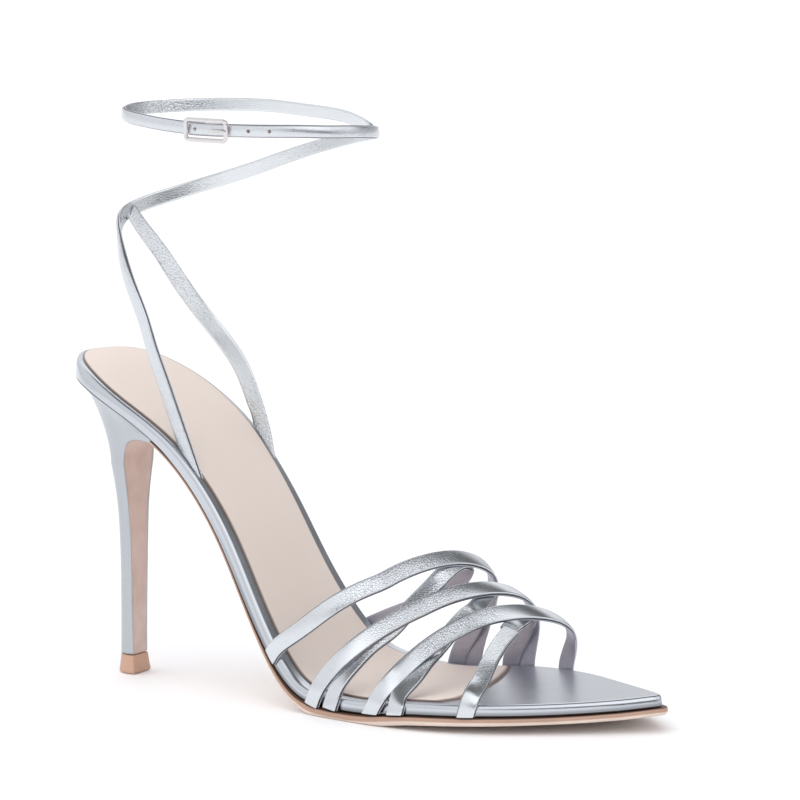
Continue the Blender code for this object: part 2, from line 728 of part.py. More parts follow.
silver_strap = material("strap_silver_leather", SILVER, 0.9, 0.3)
vamp_pieces = []
for name, line in vamp_lines.items():
    rim = rim_height(line[:, 0])
    tall = np.clip((line[:, 2] - rim) / arch_height(line[:, 0]), 0.0, 1.1)
    away = np.stack([FORWARD_LEAN * tall, (line[:, 1] - 4.0) / 36.0, UP_LEAN * tall], axis=1)
    away /= np.linalg.norm(away, axis=1)[:, None]
    side = np.where(line[:, 1] < 0.0, -1.0, 1.0)
    turn = np.where(side < 0.0, edge_slope(OUTER_LINE, line[:, 0]), edge_slope(INNER_LINE, line[:, 0]))
    level = np.stack([-turn, side, np.zeros(len(line))], axis=1) / np.hypot(1.0, turn)[:, None]
    low_share = np.clip(1.25 - (line[:, 2] - rim) / 14.0, 0.0, 1.0)[:, None]
    away = away * (1.0 - low_share) + level * low_share
    run = np.concatenate([[0.0], np.cumsum(np.linalg.norm(np.diff(line, axis=0), axis=1))])
    cut = np.clip(1.0 - np.minimum(run, run[-1] - run) / 9.0, 0.0, 1.0)
    normal = sole_normal(line[:, 0])
    along_rim = np.stack([normal[:, 2], side * turn * normal[:, 2], -normal[:, 0]], axis=1)
    lean = (along_rim, cut * cut * (3.0 - 2.0 * cut))
    points, faces = ribbon(line, away, np.full(len(line), VAMP_WIDTH), STRAP, lean)
    vamp_pieces.append(finish(name, points, faces, silver_strap))
vamp = fuse("vamp_straps", vamp_pieces)


def leg_normal(points):
    """Outward direction of the leg at each point, level."""
    centre_x = np.interp(points[:, 2], (80.0, 150.0, 180.0), (62.0, 62.0, 63.4))
    return np.stack([(points[:, 0] - centre_x) / 44.0 ** 2, points[:, 1] / 30.0 ** 2, np.zeros(len(points))], axis=1)


def strap_foot(table, side):
    """Waypoints of a rear strap with its foot set on the footbed's margin."""
    line = OUTER_LINE if side < 0 else INNER_LINE
    station = table[0][0] + 1.6
    y = side * (half_width(line, station) - 2.3)
    foot = on_sole(np.array([[station, y]]), np.array([-GAP - 0.15]))[0]
    return np.concatenate([[foot], np.array(table)])


ankle_pieces = []
for name, table, side, count, wide in (
    ("long_strap", MAIN_STRAP, -1, 86, ((0.0, 5.4), (0.25, 5.0), (0.4, 4.7), (0.7, BAND_WIDTH), (1.0, BAND_WIDTH))),
    ("inner_strap", INNER_STRAP, 1, 36, ((0.0, 5.6), (1.0, 5.4))),
    ("buckle_strap", BUCKLE_STRAP, 0, 54, ((0.0, BAND_WIDTH), (1.0, BAND_WIDTH))),
):
    path = strap_foot(table, side) if side else np.array(table)
    line = path_spline(path, count)
    run = np.linspace(0.0, 1.0, count)
    widths = np.interp(run, [w[0] for w in wide], [w[1] for w in wide])
    lean = None
    if side:
        normal = sole_normal(line[:, 0])
        slant = np.stack([normal[:, 2], np.zeros(count), -normal[:, 0]], axis=1)
        slant[:] = slant[0]
        length = np.linalg.norm(np.diff(line, axis=0), axis=1).sum()
        fade = np.clip(1.0 - run * length / 18.0, 0.0, 1.0)
        lean = (slant, fade * fade * (3.0 - 2.0 * fade))
    points, faces = ribbon(line, leg_normal(line), widths, STRAP - 0.1, lean)
    ankle_pieces.append(finish(name, points, faces, silver_strap))
ankle = fuse("ankle_straps", ankle_pieces)


def rod(points, radius, closed, sides=8):
    """Round wire along a path that lies near one plane."""
    points = np.asarray(points, dtype=float)
    count = len(points)
    if closed:
        tangent = np.roll(points, -1, axis=0) - np.roll(points, 1, axis=0)
    else:
        tangent = np.gradient(points, axis=0)
    tangent /= np.linalg.norm(tangent, axis=1)[:, None]
    fixed = np.array([0.0, -1.0, 0.0])
    one = fixed - (tangent @ fixed)[:, None] * tangent
    one /= np.linalg.norm(one, axis=1)[:, None]
    two = np.cross(tangent, one)
    angle = np.linspace(0.0, 2.0 * math.pi, sides, endpoint=False)
    vertices = (points[:, None] + radius * (np.cos(angle)[None, :, None] * one[:, None]
                                            + np.sin(angle)[None, :, None] * two[:, None])).reshape(-1, 3)
    faces = []
    for i in range(count if closed else count - 1):
        for j in range(sides):
            a = i * sides + j
            b = i * sides + (j + 1) % sides
            c = ((i + 1) % count) * sides + (j + 1) % sides
            d = ((i + 1) % count) * sides + j
            faces.append((a, b, c, d))
    if not closed:
        faces.append(tuple(range(sides)))
        faces.append(tuple(range((count - 1) * sides, count * sides)))
    return vertices, faces


# Buckle frame: bent wire, its two upright bars outside the band.
polished = material("buckle_polished_metal", (0.80, 0.76, 0.75), 1.0, 0.12)
half_long = BUCKLE_LONG / 2.0 - WIRE
half_tall = BUCKLE_TALL / 2.0 - WIRE
corner = 1.2
loop = []
for sx, sz, start in ((1, 1, 0.0), (-1, 1, 90.0), (-1, -1, 180.0), (1, -1, 270.0)):
    for step in range(5):
        turn = math.radians(start + 22.5 * step)
        loop.append((sx * (half_long - corner) + corner * math.cos(turn), sz * (half_tall - corner) + corner * math.sin(turn)))
loop = np.array(loop)
stand = STRAP / 2.0 + 0.1 + GAP + WIRE
frame_line = np.stack([
    BUCKLE_CENTRE[0] + loop[:, 0],
    BUCKLE_CENTRE[1] - stand + 0.0065 * loop[:, 0] ** 2,
    BUCKLE_CENTRE[2] + loop[:, 1],
], axis=1)
frame_points, frame_faces = rod(frame_line, WIRE, True)
frame = finish("buckle_frame", frame_points, frame_faces, polished)

# Prong: lies on the band and rests on the front bar.
prong_line = []
for along, rise in ((1.2, 0.0), (2.6, 0.1), (4.2, 0.5), (5.7, 1.1), (7.1, 1.45), (8.2, 1.4)):
    prong_line.append((BUCKLE_CENTRE[0] + along, BUCKLE_CENTRE[1] - STRAP / 2.0 - 0.1 - GAP - PIN - rise, BUCKLE_CENTRE[2]))
prong_points, prong_faces = rod(prong_line, PIN, False)
prong = finish("buckle_prong", prong_points, prong_faces, polished)

# Set the middle of the bounding box over the origin.
low = np.full(3, 1e9)
high = np.full(3, -1e9)
for piece in (footbed, sock, outsole, heel, flap, lift, *vamp_pieces, *ankle_pieces, frame, prong):
    spots = np.array([tuple(v.co) for v in piece.data.vertices])
    low = np.minimum(low, spots.min(0))
    high = np.maximum(high, spots.max(0))
shift = -(low + high) / 2.0
for piece in (footbed, sock, outsole, heel, flap, lift, *vamp_pieces, *ankle_pieces, frame, prong):
    for v in piece.data.vertices:
        v.co.x += shift[0]
        v.co.y += shift[1]
print("moved by", [round(float(s) / MM, 3) for s in shift[:2]], "size", [round(float(s) / MM, 2) for s in high - low])
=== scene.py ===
"""Silver high heel sandal, right shoe: the looks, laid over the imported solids."""
import math

import bmesh
import bpy
import numpy as np
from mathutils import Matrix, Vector


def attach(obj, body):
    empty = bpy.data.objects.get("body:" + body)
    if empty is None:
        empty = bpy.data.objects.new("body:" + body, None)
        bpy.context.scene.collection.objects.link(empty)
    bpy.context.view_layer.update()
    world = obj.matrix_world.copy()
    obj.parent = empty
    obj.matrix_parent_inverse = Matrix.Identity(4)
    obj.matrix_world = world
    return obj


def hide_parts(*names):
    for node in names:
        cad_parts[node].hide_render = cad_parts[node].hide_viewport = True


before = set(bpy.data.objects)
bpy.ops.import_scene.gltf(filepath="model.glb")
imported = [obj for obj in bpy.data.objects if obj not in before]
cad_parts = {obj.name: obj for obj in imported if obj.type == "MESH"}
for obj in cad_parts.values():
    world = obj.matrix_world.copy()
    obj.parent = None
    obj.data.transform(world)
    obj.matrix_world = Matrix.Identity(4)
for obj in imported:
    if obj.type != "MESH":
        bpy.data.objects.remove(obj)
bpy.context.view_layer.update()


# FOOTBED
# The insole board and its steel shank, wrapped in one piece of smooth silver leather. The leather is drawn
# round the edge and cemented underneath, which gives the rounded rand seen all round the shoe.
MM = 0.001
LENGTH = 212.0  # heel back to toe tip, level
BALL_WIDTH = 75.5  # across the footbed at the ball
HEEL_HEIGHT = 105.5  # floor to the rim at the back
RAND = 3.9  # thickness of the wrapped footbed
RAND_SEAT = 1.9  # how much thicker it grows toward the heel back
SEAT_END = 36.0  # station where it begins to grow
RAND_STEPS = 18  # points round the rand, from the top to the underside
RAND_ROUND = 1.5  # how far its upper edge is rounded in
RAND_TUCK = 0.4  # and its lower edge
RAND_SHADE = 0.55  # how dark it grows toward the sole
FLAT_ROUGH = 0.17  # roughness that the flat top has more than the rand
BED_COLUMNS = 24  # strips across the top and across the underside
GAP = 0.3  # cement line between two pieces
BOX_MIDDLE = np.array([106.963, 0.797, 0.0])  # middle of the shoe's box, from the heel back
WELD = 0.000004  # points nearer than this are joined, in metres
GRAIN_DEPTH = 0.0002  # height of the leather grain, in metres

OUTLINE = (
    # station, outer half width, inner half width, as shares of the length and the ball width
    (0.0, 0.0, 0.0), (0.014, 0.124, 0.124), (0.038, 0.215, 0.219), (0.071, 0.283, 0.283),
    (0.118, 0.328, 0.332), (0.189, 0.335, 0.346), (0.283, 0.328, 0.323), (0.377, 0.346, 0.298),
    (0.472, 0.4, 0.322), (0.542, 0.444, 0.376), (0.613, 0.48, 0.446), (0.684, 0.489, 0.503),
    (0.741, 0.464, 0.509), (0.802, 0.396, 0.462), (0.863, 0.3, 0.366), (0.915, 0.204, 0.264),
    (0.958, 0.114, 0.16), (0.986, 0.045, 0.074), (1.0, 0.0, 0.0),
)
PROFILE = (
    # station, rim height as a share of the heel height, half the twist of the rim in millimetres
    (0.0, 1.0, 0.2), (0.047, 0.986, 0.6), (0.094, 0.947, 0.9), (0.142, 0.895, 1.0),
    (0.189, 0.836, 1.0), (0.236, 0.76, 1.0), (0.283, 0.654, 1.1), (0.33, 0.517, 1.9),
    (0.377, 0.351, 3.4), (0.425, 0.204, 4.2), (0.472, 0.11, 3.3), (0.519, 0.0806, 1.8),
    (0.566, 0.0692, 0.7), (0.613, 0.068, 0.0), (0.66, 0.0745, -0.3), (0.708, 0.0787, -0.4),
    (0.755, 0.0806, -0.5), (0.802, 0.0825, -0.5), (0.849, 0.0848, -0.5), (0.896, 0.0886, -0.5),
    (0.943, 0.0957, -0.4), (1.0, 0.11, -0.2),
)


def column(table, index):
    """One column of a table as an array."""
    return np.array([row[index] for row in table], dtype=float)


def smooth(low, high, value):
    """Smooth step: 0 below low, 1 above high, an S curve between."""
    t = np.clip((np.asarray(value, dtype=float) - low) / (high - low), 0.0, 1.0)
    return t * t * (3.0 - 2.0 * t)


def unit(vectors):
    """Vectors divided by their lengths."""
    return vectors / np.linalg.norm(vectors, axis=-1, keepdims=True)


def run_length(points):
    """Length along a line from its start to each of its points."""
    return np.concatenate([[0.0], np.cumsum(np.linalg.norm(np.diff(points, axis=0), axis=1))])


def natural_spline(knots, values):
    """Natural cubic spline through the values, as a function of the knot variable."""
    n = len(knots)
    step = np.diff(knots)
    rise = np.diff(values) / step
    matrix = np.eye(n)
    inside = np.arange(1, n - 1)
    matrix[inside, inside - 1] = step[:-1]
    matrix[inside, inside] = 2.0 * (step[:-1] + step[1:])
    matrix[inside, inside + 1] = step[1:]
    right = np.zeros(n)
    right[1:-1] = 3.0 * np.diff(rise)
    curve = np.linalg.solve(matrix, right)

    def value(at):
        """Cubic of the span that holds each place."""
        at = np.asarray(at, dtype=float)
        k = np.clip(np.searchsorted(knots, at) - 1, 0, n - 2)
        t = at - knots[k]
        slope = rise[k] - step[k] * (2.0 * curve[k] + curve[k + 1]) / 3.0
        return values[k] + t * (slope + t * (curve[k] + t * (curve[k + 1] - curve[k]) / (3.0 * step[k])))

    return value


def path_spline(points, count):
    """Points spaced evenly by length on a natural spline through the waypoints."""
    points = np.asarray(points, dtype=float)
    chord = run_length(points)
    fine = np.linspace(0.0, chord[-1], 1500)
    dense = np.stack([natural_spline(chord, axis)(fine) for axis in points.T], axis=1)
    run = run_length(dense)
    even = np.linspace(0.0, run[-1], count)
    return np.stack([np.interp(even, run, axis) for axis in dense.T], axis=1)


def outline_sides():
    """The outer and the inner half outline as dense lines of station and half width. Each is splined on past
    both tips into the other side, mirrored, and then cut where it meets the middle line."""
    outer, inner = (np.stack([column(OUTLINE, 0) * LENGTH, column(OUTLINE, side) * BALL_WIDTH], axis=1)
                    for side in (1, 2))
    over = np.array([1.0, -1.0])
    half = 1500
    sides = []
    for near, far in ((outer, inner), (inner, outer)):
        line = path_spline(np.concatenate([near[2:0:-1] * over, near, far[-2:-4:-1] * over]), 2 * half)
        first = int(np.argmin(np.abs(line[:half, 1]) + 10.0 * (line[:half, 0] > 30.0)))
        last = half + int(np.argmin(np.abs(line[half:, 1]) + 10.0 * (line[half:, 0] < 180.0)))
        sides.append(line[first:last + 1])
    return sides


OUTER_LINE, INNER_LINE = outline_sides()
rim_height = natural_spline(column(PROFILE, 0) * LENGTH, column(PROFILE, 1) * HEEL_HEIGHT)
rim_twist = natural_spline(column(PROFILE, 0) * LENGTH, column(PROFILE, 2))


def half_width(line, x):
    """Half width of one side of the outline at the station x."""
    return np.interp(x, line[:, 0], np.maximum(line[:, 1], 0.0))


def footbed_top(x, y):
    """Height of the footbed: rim height at the station, tilted across by the twist."""
    reach = np.maximum(np.where(y < 0.0, half_width(OUTER_LINE, x), half_width(INNER_LINE, x)), 12.0)
    across = np.clip(y / reach, -1.2, 1.2)
    station = np.clip(x, 0.0, LENGTH)
    return rim_height(station) + rim_twist(station) * across


def sole_normal(x):
    """Unit normal of the footbed's middle line, pointing up."""
    x = np.clip(np.asarray(x, dtype=float), 0.5, LENGTH - 0.5)
    slope = rim_height(x + 0.5) - rim_height(x - 0.5)
    return unit(np.stack([-slope, np.zeros_like(x), np.ones_like(x)], axis=-1))


def on_sole(plan, depth):
    """Plan points laid on the footbed and sunk below it by a depth along its normal."""
    x, y = plan[..., 0], plan[..., 1]
    return np.stack([x, y, footbed_top(x, y)], axis=-1) - np.asarray(depth)[..., None] * sole_normal(x)


def rand_depth(x):
    """Thickness of the wrapped footbed at the station x."""
    return RAND + RAND_SEAT * (1.0 - smooth(0.0, SEAT_END, x))


def side_points(stations, inset):
    """Plan points of both sides, moved in from the outline along its normal by an inset."""
    moved = []
    for line in (OUTER_LINE, INNER_LINE):
        along = unit(np.gradient(line, axis=0))
        kept = line - inset * np.stack([-along[:, 1], along[:, 0]], axis=1)
        kept = kept[kept[:, 1] > 0.0]
        kept[:, 0] = np.maximum.accumulate(kept[:, 0])
        moved.append(kept)
    pick = (max, min) if inset > 0.0 else (min, max)
    first = pick[0](moved[0][0, 0], moved[1][0, 0])
    final = pick[1](moved[0][-1, 0], moved[1][-1, 0])
    x = first + (final - first) * stations / LENGTH
    open_end = (stations > 0.01) & (stations < LENGTH - 0.01)
    return [np.stack([x, sign * np.where(open_end, np.interp(x, kept[:, 0], kept[:, 1]), 0.0)], axis=1)
            for kept, sign in zip(moved, (-1.0, 1.0))]


def layer_surface(stations, edge, columns):
    """Closed loop round a sole layer at every station: across the top, down the inner edge, back across the
    underside and up the outer edge. edge lists (inset, depth) from the top face to the underside."""
    share = np.linspace(0.0, 1.0, columns + 1)[:, None, None]
    depths = [np.broadcast_to(depth, len(stations)) for _, depth in edge]
    sides = [side_points(stations, inset) for inset, _ in edge]

    def sheet(start, end, depth):
        """Rows of points from one side to the other."""
        plan = start * (1.0 - share) + end * share
        return on_sole(plan, np.broadcast_to(depth, plan.shape[:2]))

    outer, inner = (np.stack([on_sole(side[i], depth) for side, depth in zip(sides[1:-1], depths[1:-1])])
                    for i in (0, 1))
    top, below = sheet(*sides[0], depths[0]), sheet(*sides[-1][::-1], depths[-1])
    return np.concatenate([top, inner, below, outer[::-1]])


def layer_values(columns, edge):
    """Values round the loop of a sole layer: 0 across the top, those of the edge, and 1 underneath."""
    return np.concatenate([np.zeros(columns + 1), edge, np.ones(columns + 1), edge[::-1]])[:, None]


def grid_mesh(name, grid, materials, strips=0, marks=None, caps=False):
    """Mesh of a closed loop (first axis) carried along a path (second axis). strips gives each loop strip
    its material, marks are extra values at the points, caps closes both ends with a fan."""
    loops, rows = grid.shape[:2]
    points = grid.reshape(-1, 3)
    index = np.arange(loops * rows).reshape(loops, rows)
    after = np.roll(index, -1, axis=0)
    faces = np.stack([index[:, :-1], after[:, :-1], after[:, 1:], index[:, 1:]], axis=-1)
    faces = faces.reshape(-1, 4).tolist()
    kind = np.repeat(np.broadcast_to(strips, loops), rows - 1)
    values = {key: np.array(mark, dtype=float) for key, mark in (marks or {}).items()}
    if caps:
        points = np.concatenate([points, grid[:, (0, -1)].mean(axis=0)])
        for end, middle in ((0, loops * rows), (-1, loops * rows + 1)):
            faces += np.stack([index[:, end], after[:, end], np.full(loops, middle)], axis=1).tolist()
        kind = np.append(kind, np.full(2 * loops, kind[0]))
        values = {key: np.append(mark, mark[0, (0, -1)]) for key, mark in values.items()}
    mesh = bpy.data.meshes.new(name)
    mesh.from_pydata(((points - BOX_MIDDLE) * MM).tolist(), [], faces)
    for key, mark in values.items():
        mesh.attributes.new(key, "FLOAT", "POINT").data.foreach_set("value", mark.ravel())
    for made in materials:
        mesh.materials.append(made)
    mesh.polygons.foreach_set("material_index", kind)
    work = bmesh.new()
    work.from_mesh(mesh)
    bmesh.ops.remove_doubles(work, verts=work.verts, dist=WELD)
    bmesh.ops.dissolve_degenerate(work, edges=work.edges, dist=WELD / 2.0)
    bmesh.ops.recalc_face_normals(work, faces=work.faces)
    work.to_mesh(mesh)
    work.free()
    mesh.shade_smooth()
    piece = bpy.data.objects.new(name, mesh)
    bpy.context.scene.collection.objects.link(piece)
    return piece


def add_node(tree, kind, sockets=(), **settings):
    """New shader node with its settings; each socket is linked if its value is an output, and set if not."""
    made = tree.nodes.new("ShaderNode" + kind)
    for key, value in settings.items():
        setattr(made, key, value)
    for key, value in dict(sockets).items():
        if isinstance(value, bpy.types.NodeSocket):
            tree.links.new(value, made.inputs[key])
        else:
            made.inputs[key].default_value = value
    return made


def math_value(tree, operation, *values):
    """Result of a math node on values or outputs."""
    return add_node(tree, "Math", enumerate(values), operation=operation).outputs["Value"]


def mixed_colour(tree, factor, first, second, blend_type="MIX"):
    """Result of mixing two colours by a factor."""
    sockets = {"Factor": factor, "A": first, "B": second}
    return add_node(tree, "Mix", sockets, data_type="RGBA", blend_type=blend_type).outputs["Result"]


def mark_value(tree, name):
    """A mark at the points of a mesh."""
    return add_node(tree, "Attribute", attribute_name=name).outputs["Fac"]


def feeding(made, socket):
    """The output that now feeds a socket of a material's shader."""
    return made.node_tree.nodes["Principled BSDF"].inputs[socket].links[0].from_socket


def feed(made, socket, source):
    """Feeds a socket of a material's shader from an output."""
    made.node_tree.links.new(source, made.node_tree.nodes["Principled BSDF"].inputs[socket])


def new_material(name, metallic):
    """Material with a Principled shader, and the place on the object as a node output."""
    made = bpy.data.materials.new(name)
    made.use_nodes = True
    made.node_tree.nodes["Principled BSDF"].inputs["Metallic"].default_value = metallic
    return made, add_node(made.node_tree, "TexCoord").outputs["Object"]


def grain_group():
    """Leather grain: small pebbles with fine cracks between them, over a slow unevenness. Height for the
    bump, a mask of the cracks and the unevenness come out."""
    group = bpy.data.node_groups.new("leather grain", "ShaderNodeTree")
    for label, kind in (("Vector", "Vector"), ("Pebble Scale", "Float"), ("Crack Width", "Float")):
        group.interface.new_socket(label, in_out="INPUT", socket_type="NodeSocket" + kind)
    for label in ("Height", "Cracks", "Cloud"):
        group.interface.new_socket(label, in_out="OUTPUT", socket_type="NodeSocketFloat")
    source = group.nodes.new("NodeGroupInput")
    sink = group.nodes.new("NodeGroupOutput")
    place = source.outputs["Vector"]
    warp = add_node(group, "TexNoise", {"Vector": place, "Scale": 420.0, "Detail": 2.0})
    shifted = add_node(group, "VectorMath", {0: warp.outputs["Color"], 1: (GRAIN_DEPTH,) * 3, 2: place},
                       operation="MULTIPLY_ADD")
    spread = {"Vector": shifted.outputs["Vector"], "Scale": source.outputs["Pebble Scale"]}
    cells = add_node(group, "TexVoronoi", spread, feature="DISTANCE_TO_EDGE")
    pebbles = add_node(group, "TexVoronoi", spread, feature="SMOOTH_F1")
    pebbles.inputs["Smoothness"].default_value = 0.7
    width = {"From Min": 0.0, "From Max": source.outputs["Crack Width"], "To Min": 1.0, "To Max": 0.0}
    crack = add_node(group, "MapRange", {"Value": cells.outputs["Distance"], **width},
                     interpolation_type="SMOOTHSTEP").outputs["Result"]
    cloud = add_node(group, "TexNoise", {"Vector": place, "Scale": 130.0, "Detail": 3.0}).outputs["Fac"]
    dome = math_value(group, "MULTIPLY", pebbles.outputs["Distance"], -0.6)
    sunk = math_value(group, "MULTIPLY_ADD", crack, -0.30, dome)
    whole = math_value(group, "MULTIPLY_ADD", cloud, 0.12, sunk)
    for label, value in (("Height", whole), ("Cracks", crack), ("Cloud", cloud)):
        group.links.new(value, sink.inputs[label])
    return group


LEATHER_GRAIN = grain_group()


def leather(name, colour, crack_colour, metallic, rough_low, rough_high, pebble, crack, bump, worked=False):
    """Leather with the grain group: colour sinks toward the crack colour in the cracks, roughness follows
    the slow unevenness, and the grain's height goes into the bump. Worked leather shows its grain where the
    mark 'worked' is high."""
    made, place = new_material(name, metallic)
    tree = made.node_tree
    grain = add_node(tree, "Group", node_tree=LEATHER_GRAIN)
    grain.inputs["Pebble Scale"].default_value = pebble
    grain.inputs["Crack Width"].default_value = crack
    tree.links.new(place, grain.inputs["Vector"])
    cracks, height = grain.outputs["Cracks"], grain.outputs["Height"]
    if worked:
        shown = mark_value(tree, "worked")
        cracks, height = (math_value(tree, "MULTIPLY", value, shown) for value in (cracks, height))
    rough = {"From Min": 0.3, "From Max": 0.7, "To Min": rough_low, "To Max": rough_high}
    rough = add_node(tree, "MapRange", {"Value": grain.outputs["Cloud"], **rough})
    relief = add_node(tree, "Bump", {"Height": height, "Strength": bump, "Distance": GRAIN_DEPTH})
    feed(made, "Base Color", mixed_colour(tree, cracks, (*colour, 1.0), (*crack_colour, 1.0)))
    feed(made, "Roughness", rough.outputs["Result"])
    feed(made, "Normal", relief.outputs["Normal"])
    return made


def darken(made, mark_name, colour):
    """Mixes a dark colour over a leather's own where a mark at the points is high."""
    tree = made.node_tree
    own = feeding(made, "Base Color")
    feed(made, "Base Color", mixed_colour(tree, mark_value(tree, mark_name), own, (*colour, 1.0)))


stations = LENGTH * (1.0 - np.cos(np.pi * np.linspace(0.0, 1.0, 261))) / 2.0
turn = np.linspace(0.5 * np.pi, -0.5 * np.pi, RAND_STEPS)
rand_out = np.abs(np.cos(turn)) ** 0.62
rand_up = np.sign(np.sin(turn)) * np.abs(np.sin(turn)) ** 0.95
rand_edge = [((RAND_ROUND if up > 0.0 else RAND_TUCK) * (1.0 - out), 0.5 * rand_depth(stations) * (1.0 - up))
             for out, up in zip(rand_out, rand_up)]
rand_grid = layer_surface(stations, rand_edge, BED_COLUMNS)
rand_x = rand_grid[..., 0]
rand_down = layer_values(BED_COLUMNS, (1.0 - rand_up[1:-1]) / 2.0)
# Painted shade on the rand. A near-black line along its lower edge round the heel seat stands in for the
# shadow in the cement gap above the heel cup. From the waist forward, its lower half darkens toward the sole
# as painted shade under the outsole's ledge. Both go into one mark.
heel_gap_shadow = smooth(0.88, 0.94, rand_down) * (1.0 - smooth(44.0, 50.0, rand_x))
sole_shade = RAND_SHADE * smooth(0.50, 0.80, rand_down) * smooth(56.0, 80.0, rand_x)
rand_flat = np.broadcast_to(rand_down == 0.0, rand_x.shape)
rand_marks = {"painted_shade": np.maximum(heel_gap_shadow, sole_shade), "flat": rand_flat}
rand_silver = leather("rand_silver_leather", (0.59, 0.62, 0.66), (0.54, 0.57, 0.61), 1.0, 0.11, 0.17,
    1500.0, 0.03, 0.04)
# Painted shade: near black mixed over the rand where that mark is high.
darken(rand_silver, "painted_shade", (0.035, 0.03, 0.035))
flat_mark = mark_value(rand_silver.node_tree, "flat")
feed(rand_silver, "Roughness", math_value(rand_silver.node_tree, "MULTIPLY_ADD", flat_mark, FLAT_ROUGH,
                                          feeding(rand_silver, "Roughness")))
footbed = grid_mesh("footbed_wrap", rand_grid, [rand_silver], marks=rand_marks)
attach(footbed, "root")
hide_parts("footbed")


# SOCK
# The lining sheet that the foot stands on: matte nude leather, cemented on the footbed a few millimetres
# inside the rim, with a rounded front edge at the ball.
SOCK = 0.5  # thickness that shows above the silver
SOCK_INSET = 4.2  # silver margin left along the waist
SOCK_INSET_HEEL = 2.1  # and round the heel
SOCK_FRONT = 143.0  # station of the front edge at the inner side
SOCK_HALF = 34.0  # half the width there
SOCK_ARC = 5.1  # how far its middle bows ahead
SOCK_SLANT = 16.8  # how far its outer side reaches ahead of the inner one
SOCK_CORNER = 4.0  # rounding of the outer corner
SOCK_WAIST = 90.0  # station from which the sides follow the outline as the front moves ahead
SOCK_ROWS = 200
SOCK_COLUMNS = 40
sock_run = SOCK_FRONT * (1.0 - np.cos(0.5 * np.pi * np.linspace(0.0, 1.0, SOCK_ROWS)))
sock_run = np.append(sock_run, SOCK_FRONT + np.array([0.12, 0.3]))
sock_thick = SOCK * np.append(np.ones(SOCK_ROWS), [0.75, 0.0])
sock_shape = ((0.7, 1.0), (0.3, 0.95), (0.08, 0.8), (0.0, 0.5), (0.0, 0.2), (0.1, 0.0))
sock_waist = smooth(25.0, 75.0, sock_run)
sock_grid = 0.0
for margin, share in ((SOCK_INSET_HEEL, 1.0 - sock_waist), (SOCK_INSET, sock_waist)):
    sock_edge = [(margin + inset, -0.02 - sock_thick * up) for inset, up in sock_shape]
    sock_grid = sock_grid + layer_surface(sock_run, sock_edge, SOCK_COLUMNS) * share[None, :, None]
sock_x, sock_y = sock_grid[..., 0].copy(), sock_grid[..., 1].copy()
sock_across = np.clip(sock_y / SOCK_HALF, -1.0, 1.0)
ahead = SOCK_ARC * (1.0 - sock_across ** 2) + SOCK_SLANT * (1.0 - sock_across) / 2.0
ahead -= SOCK_CORNER * smooth(0.75, 1.0, -sock_across)
ahead *= np.clip(sock_x / SOCK_FRONT, 0.0, 1.02) ** 10
for line, side in ((OUTER_LINE, sock_y < 0.0), (INNER_LINE, sock_y >= 0.0)):
    narrower = half_width(line, sock_x + ahead) - SOCK_INSET
    narrower /= np.maximum(half_width(line, sock_x) - SOCK_INSET, 5.0)
    sock_grid[..., 1] = np.where(side & (sock_x > SOCK_WAIST), sock_y * narrower, sock_grid[..., 1])
sock_y = sock_grid[..., 1]
sock_grid[..., 2] += footbed_top(sock_x + ahead, sock_y) - footbed_top(sock_x, sock_y)
sock_grid[..., 0] += ahead
# The sock's edge walls and front rounding are coloured dark brown. This is partly the darker cut edge of the
# leather and partly painted shadow for the shadow line along the sock's edge.
sock_edge_and_shadow = np.ones(sock_x.shape)
sock_edge_and_shadow[:SOCK_COLUMNS + 1, :-3] = 0.0
sock_nude = leather("sock_nude_leather", (0.75, 0.66, 0.60), (0.70, 0.60, 0.54), 0.0, 0.55, 0.68,
    1900.0, 0.05, 0.10)
# Dark brown over the sock's edge: its cut edge and a painted shadow line.
darken(sock_nude, "cut", (0.22, 0.17, 0.15))
sock = grid_mesh("sock_lining", sock_grid, [sock_nude], marks={"cut": sock_edge_and_shadow})
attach(sock, "root")
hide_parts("sock")


# OUTSOLE
# A thin leather sole cemented under the footbed, from the heel breast to the toe. It is pared down along the
# waist, stands out a little past the rand as a ledge, and its edge is inked dark along the top.
OUTSOLE = 2.3  # thickness under the ball
OUTSOLE_WAIST = 1.0  # thickness along the waist
WAIST_TUCK = 1.75  # how far the edge draws in along the waist
BREAST_X = 43.0  # where the sole meets the heel
TREAD = 0.9  # height below which the sole is pressed flat on the floor
TREAD_TOP = 3.0  # height at which that pressing ends
SOLE_ROWS = 220
SOLE_COLUMNS = 28
SOLE_SHAPE = (
    # inset from the outline, depth as a share of the thickness
    (0.8, 0.0), (-0.9, 0.02), (-1.35, 0.06), (-1.5, 0.16), (-1.52, 0.35), (-1.48, 0.55),
    (-1.3, 0.76), (-1.0, 0.92), (-0.6, 1.0),
)
sole_run = BREAST_X + (LENGTH - BREAST_X) * np.sin(0.5 * np.pi * np.linspace(0.0, 1.0, SOLE_ROWS))
sole_run = np.append([BREAST_X - 0.4, BREAST_X - 0.15], sole_run)
sole_run[-1] = LENGTH
sole_top = rand_depth(sole_run) + GAP
sole_thick = OUTSOLE_WAIST + (OUTSOLE - OUTSOLE_WAIST) * smooth(78.0, 112.0, sole_run)
sole_thick *= np.append([0.0, 0.8], np.ones(SOLE_ROWS))
ball_edge = [(inset, sole_top + sole_thick * down) for inset, down in SOLE_SHAPE]
waist_edge = [(max(inset + WAIST_TUCK, 0.1), depth) for inset, depth in ball_edge]
ledge = smooth(72.0, 112.0, sole_run)[None, :, None]
sole_grid = layer_surface(sole_run, ball_edge, SOLE_COLUMNS) * ledge
sole_grid += layer_surface(sole_run, waist_edge, SOLE_COLUMNS) * (1.0 - ledge)
low = sole_grid[..., 2]
pressed = np.maximum(low - TREAD, 0.0) * TREAD_TOP / (TREAD_TOP - TREAD)
sole_grid[..., 2] = np.where(low < TREAD_TOP, pressed, low)
ink = np.broadcast_to(layer_values(SOLE_COLUMNS, column(SOLE_SHAPE[1:-1], 1)), low.shape)


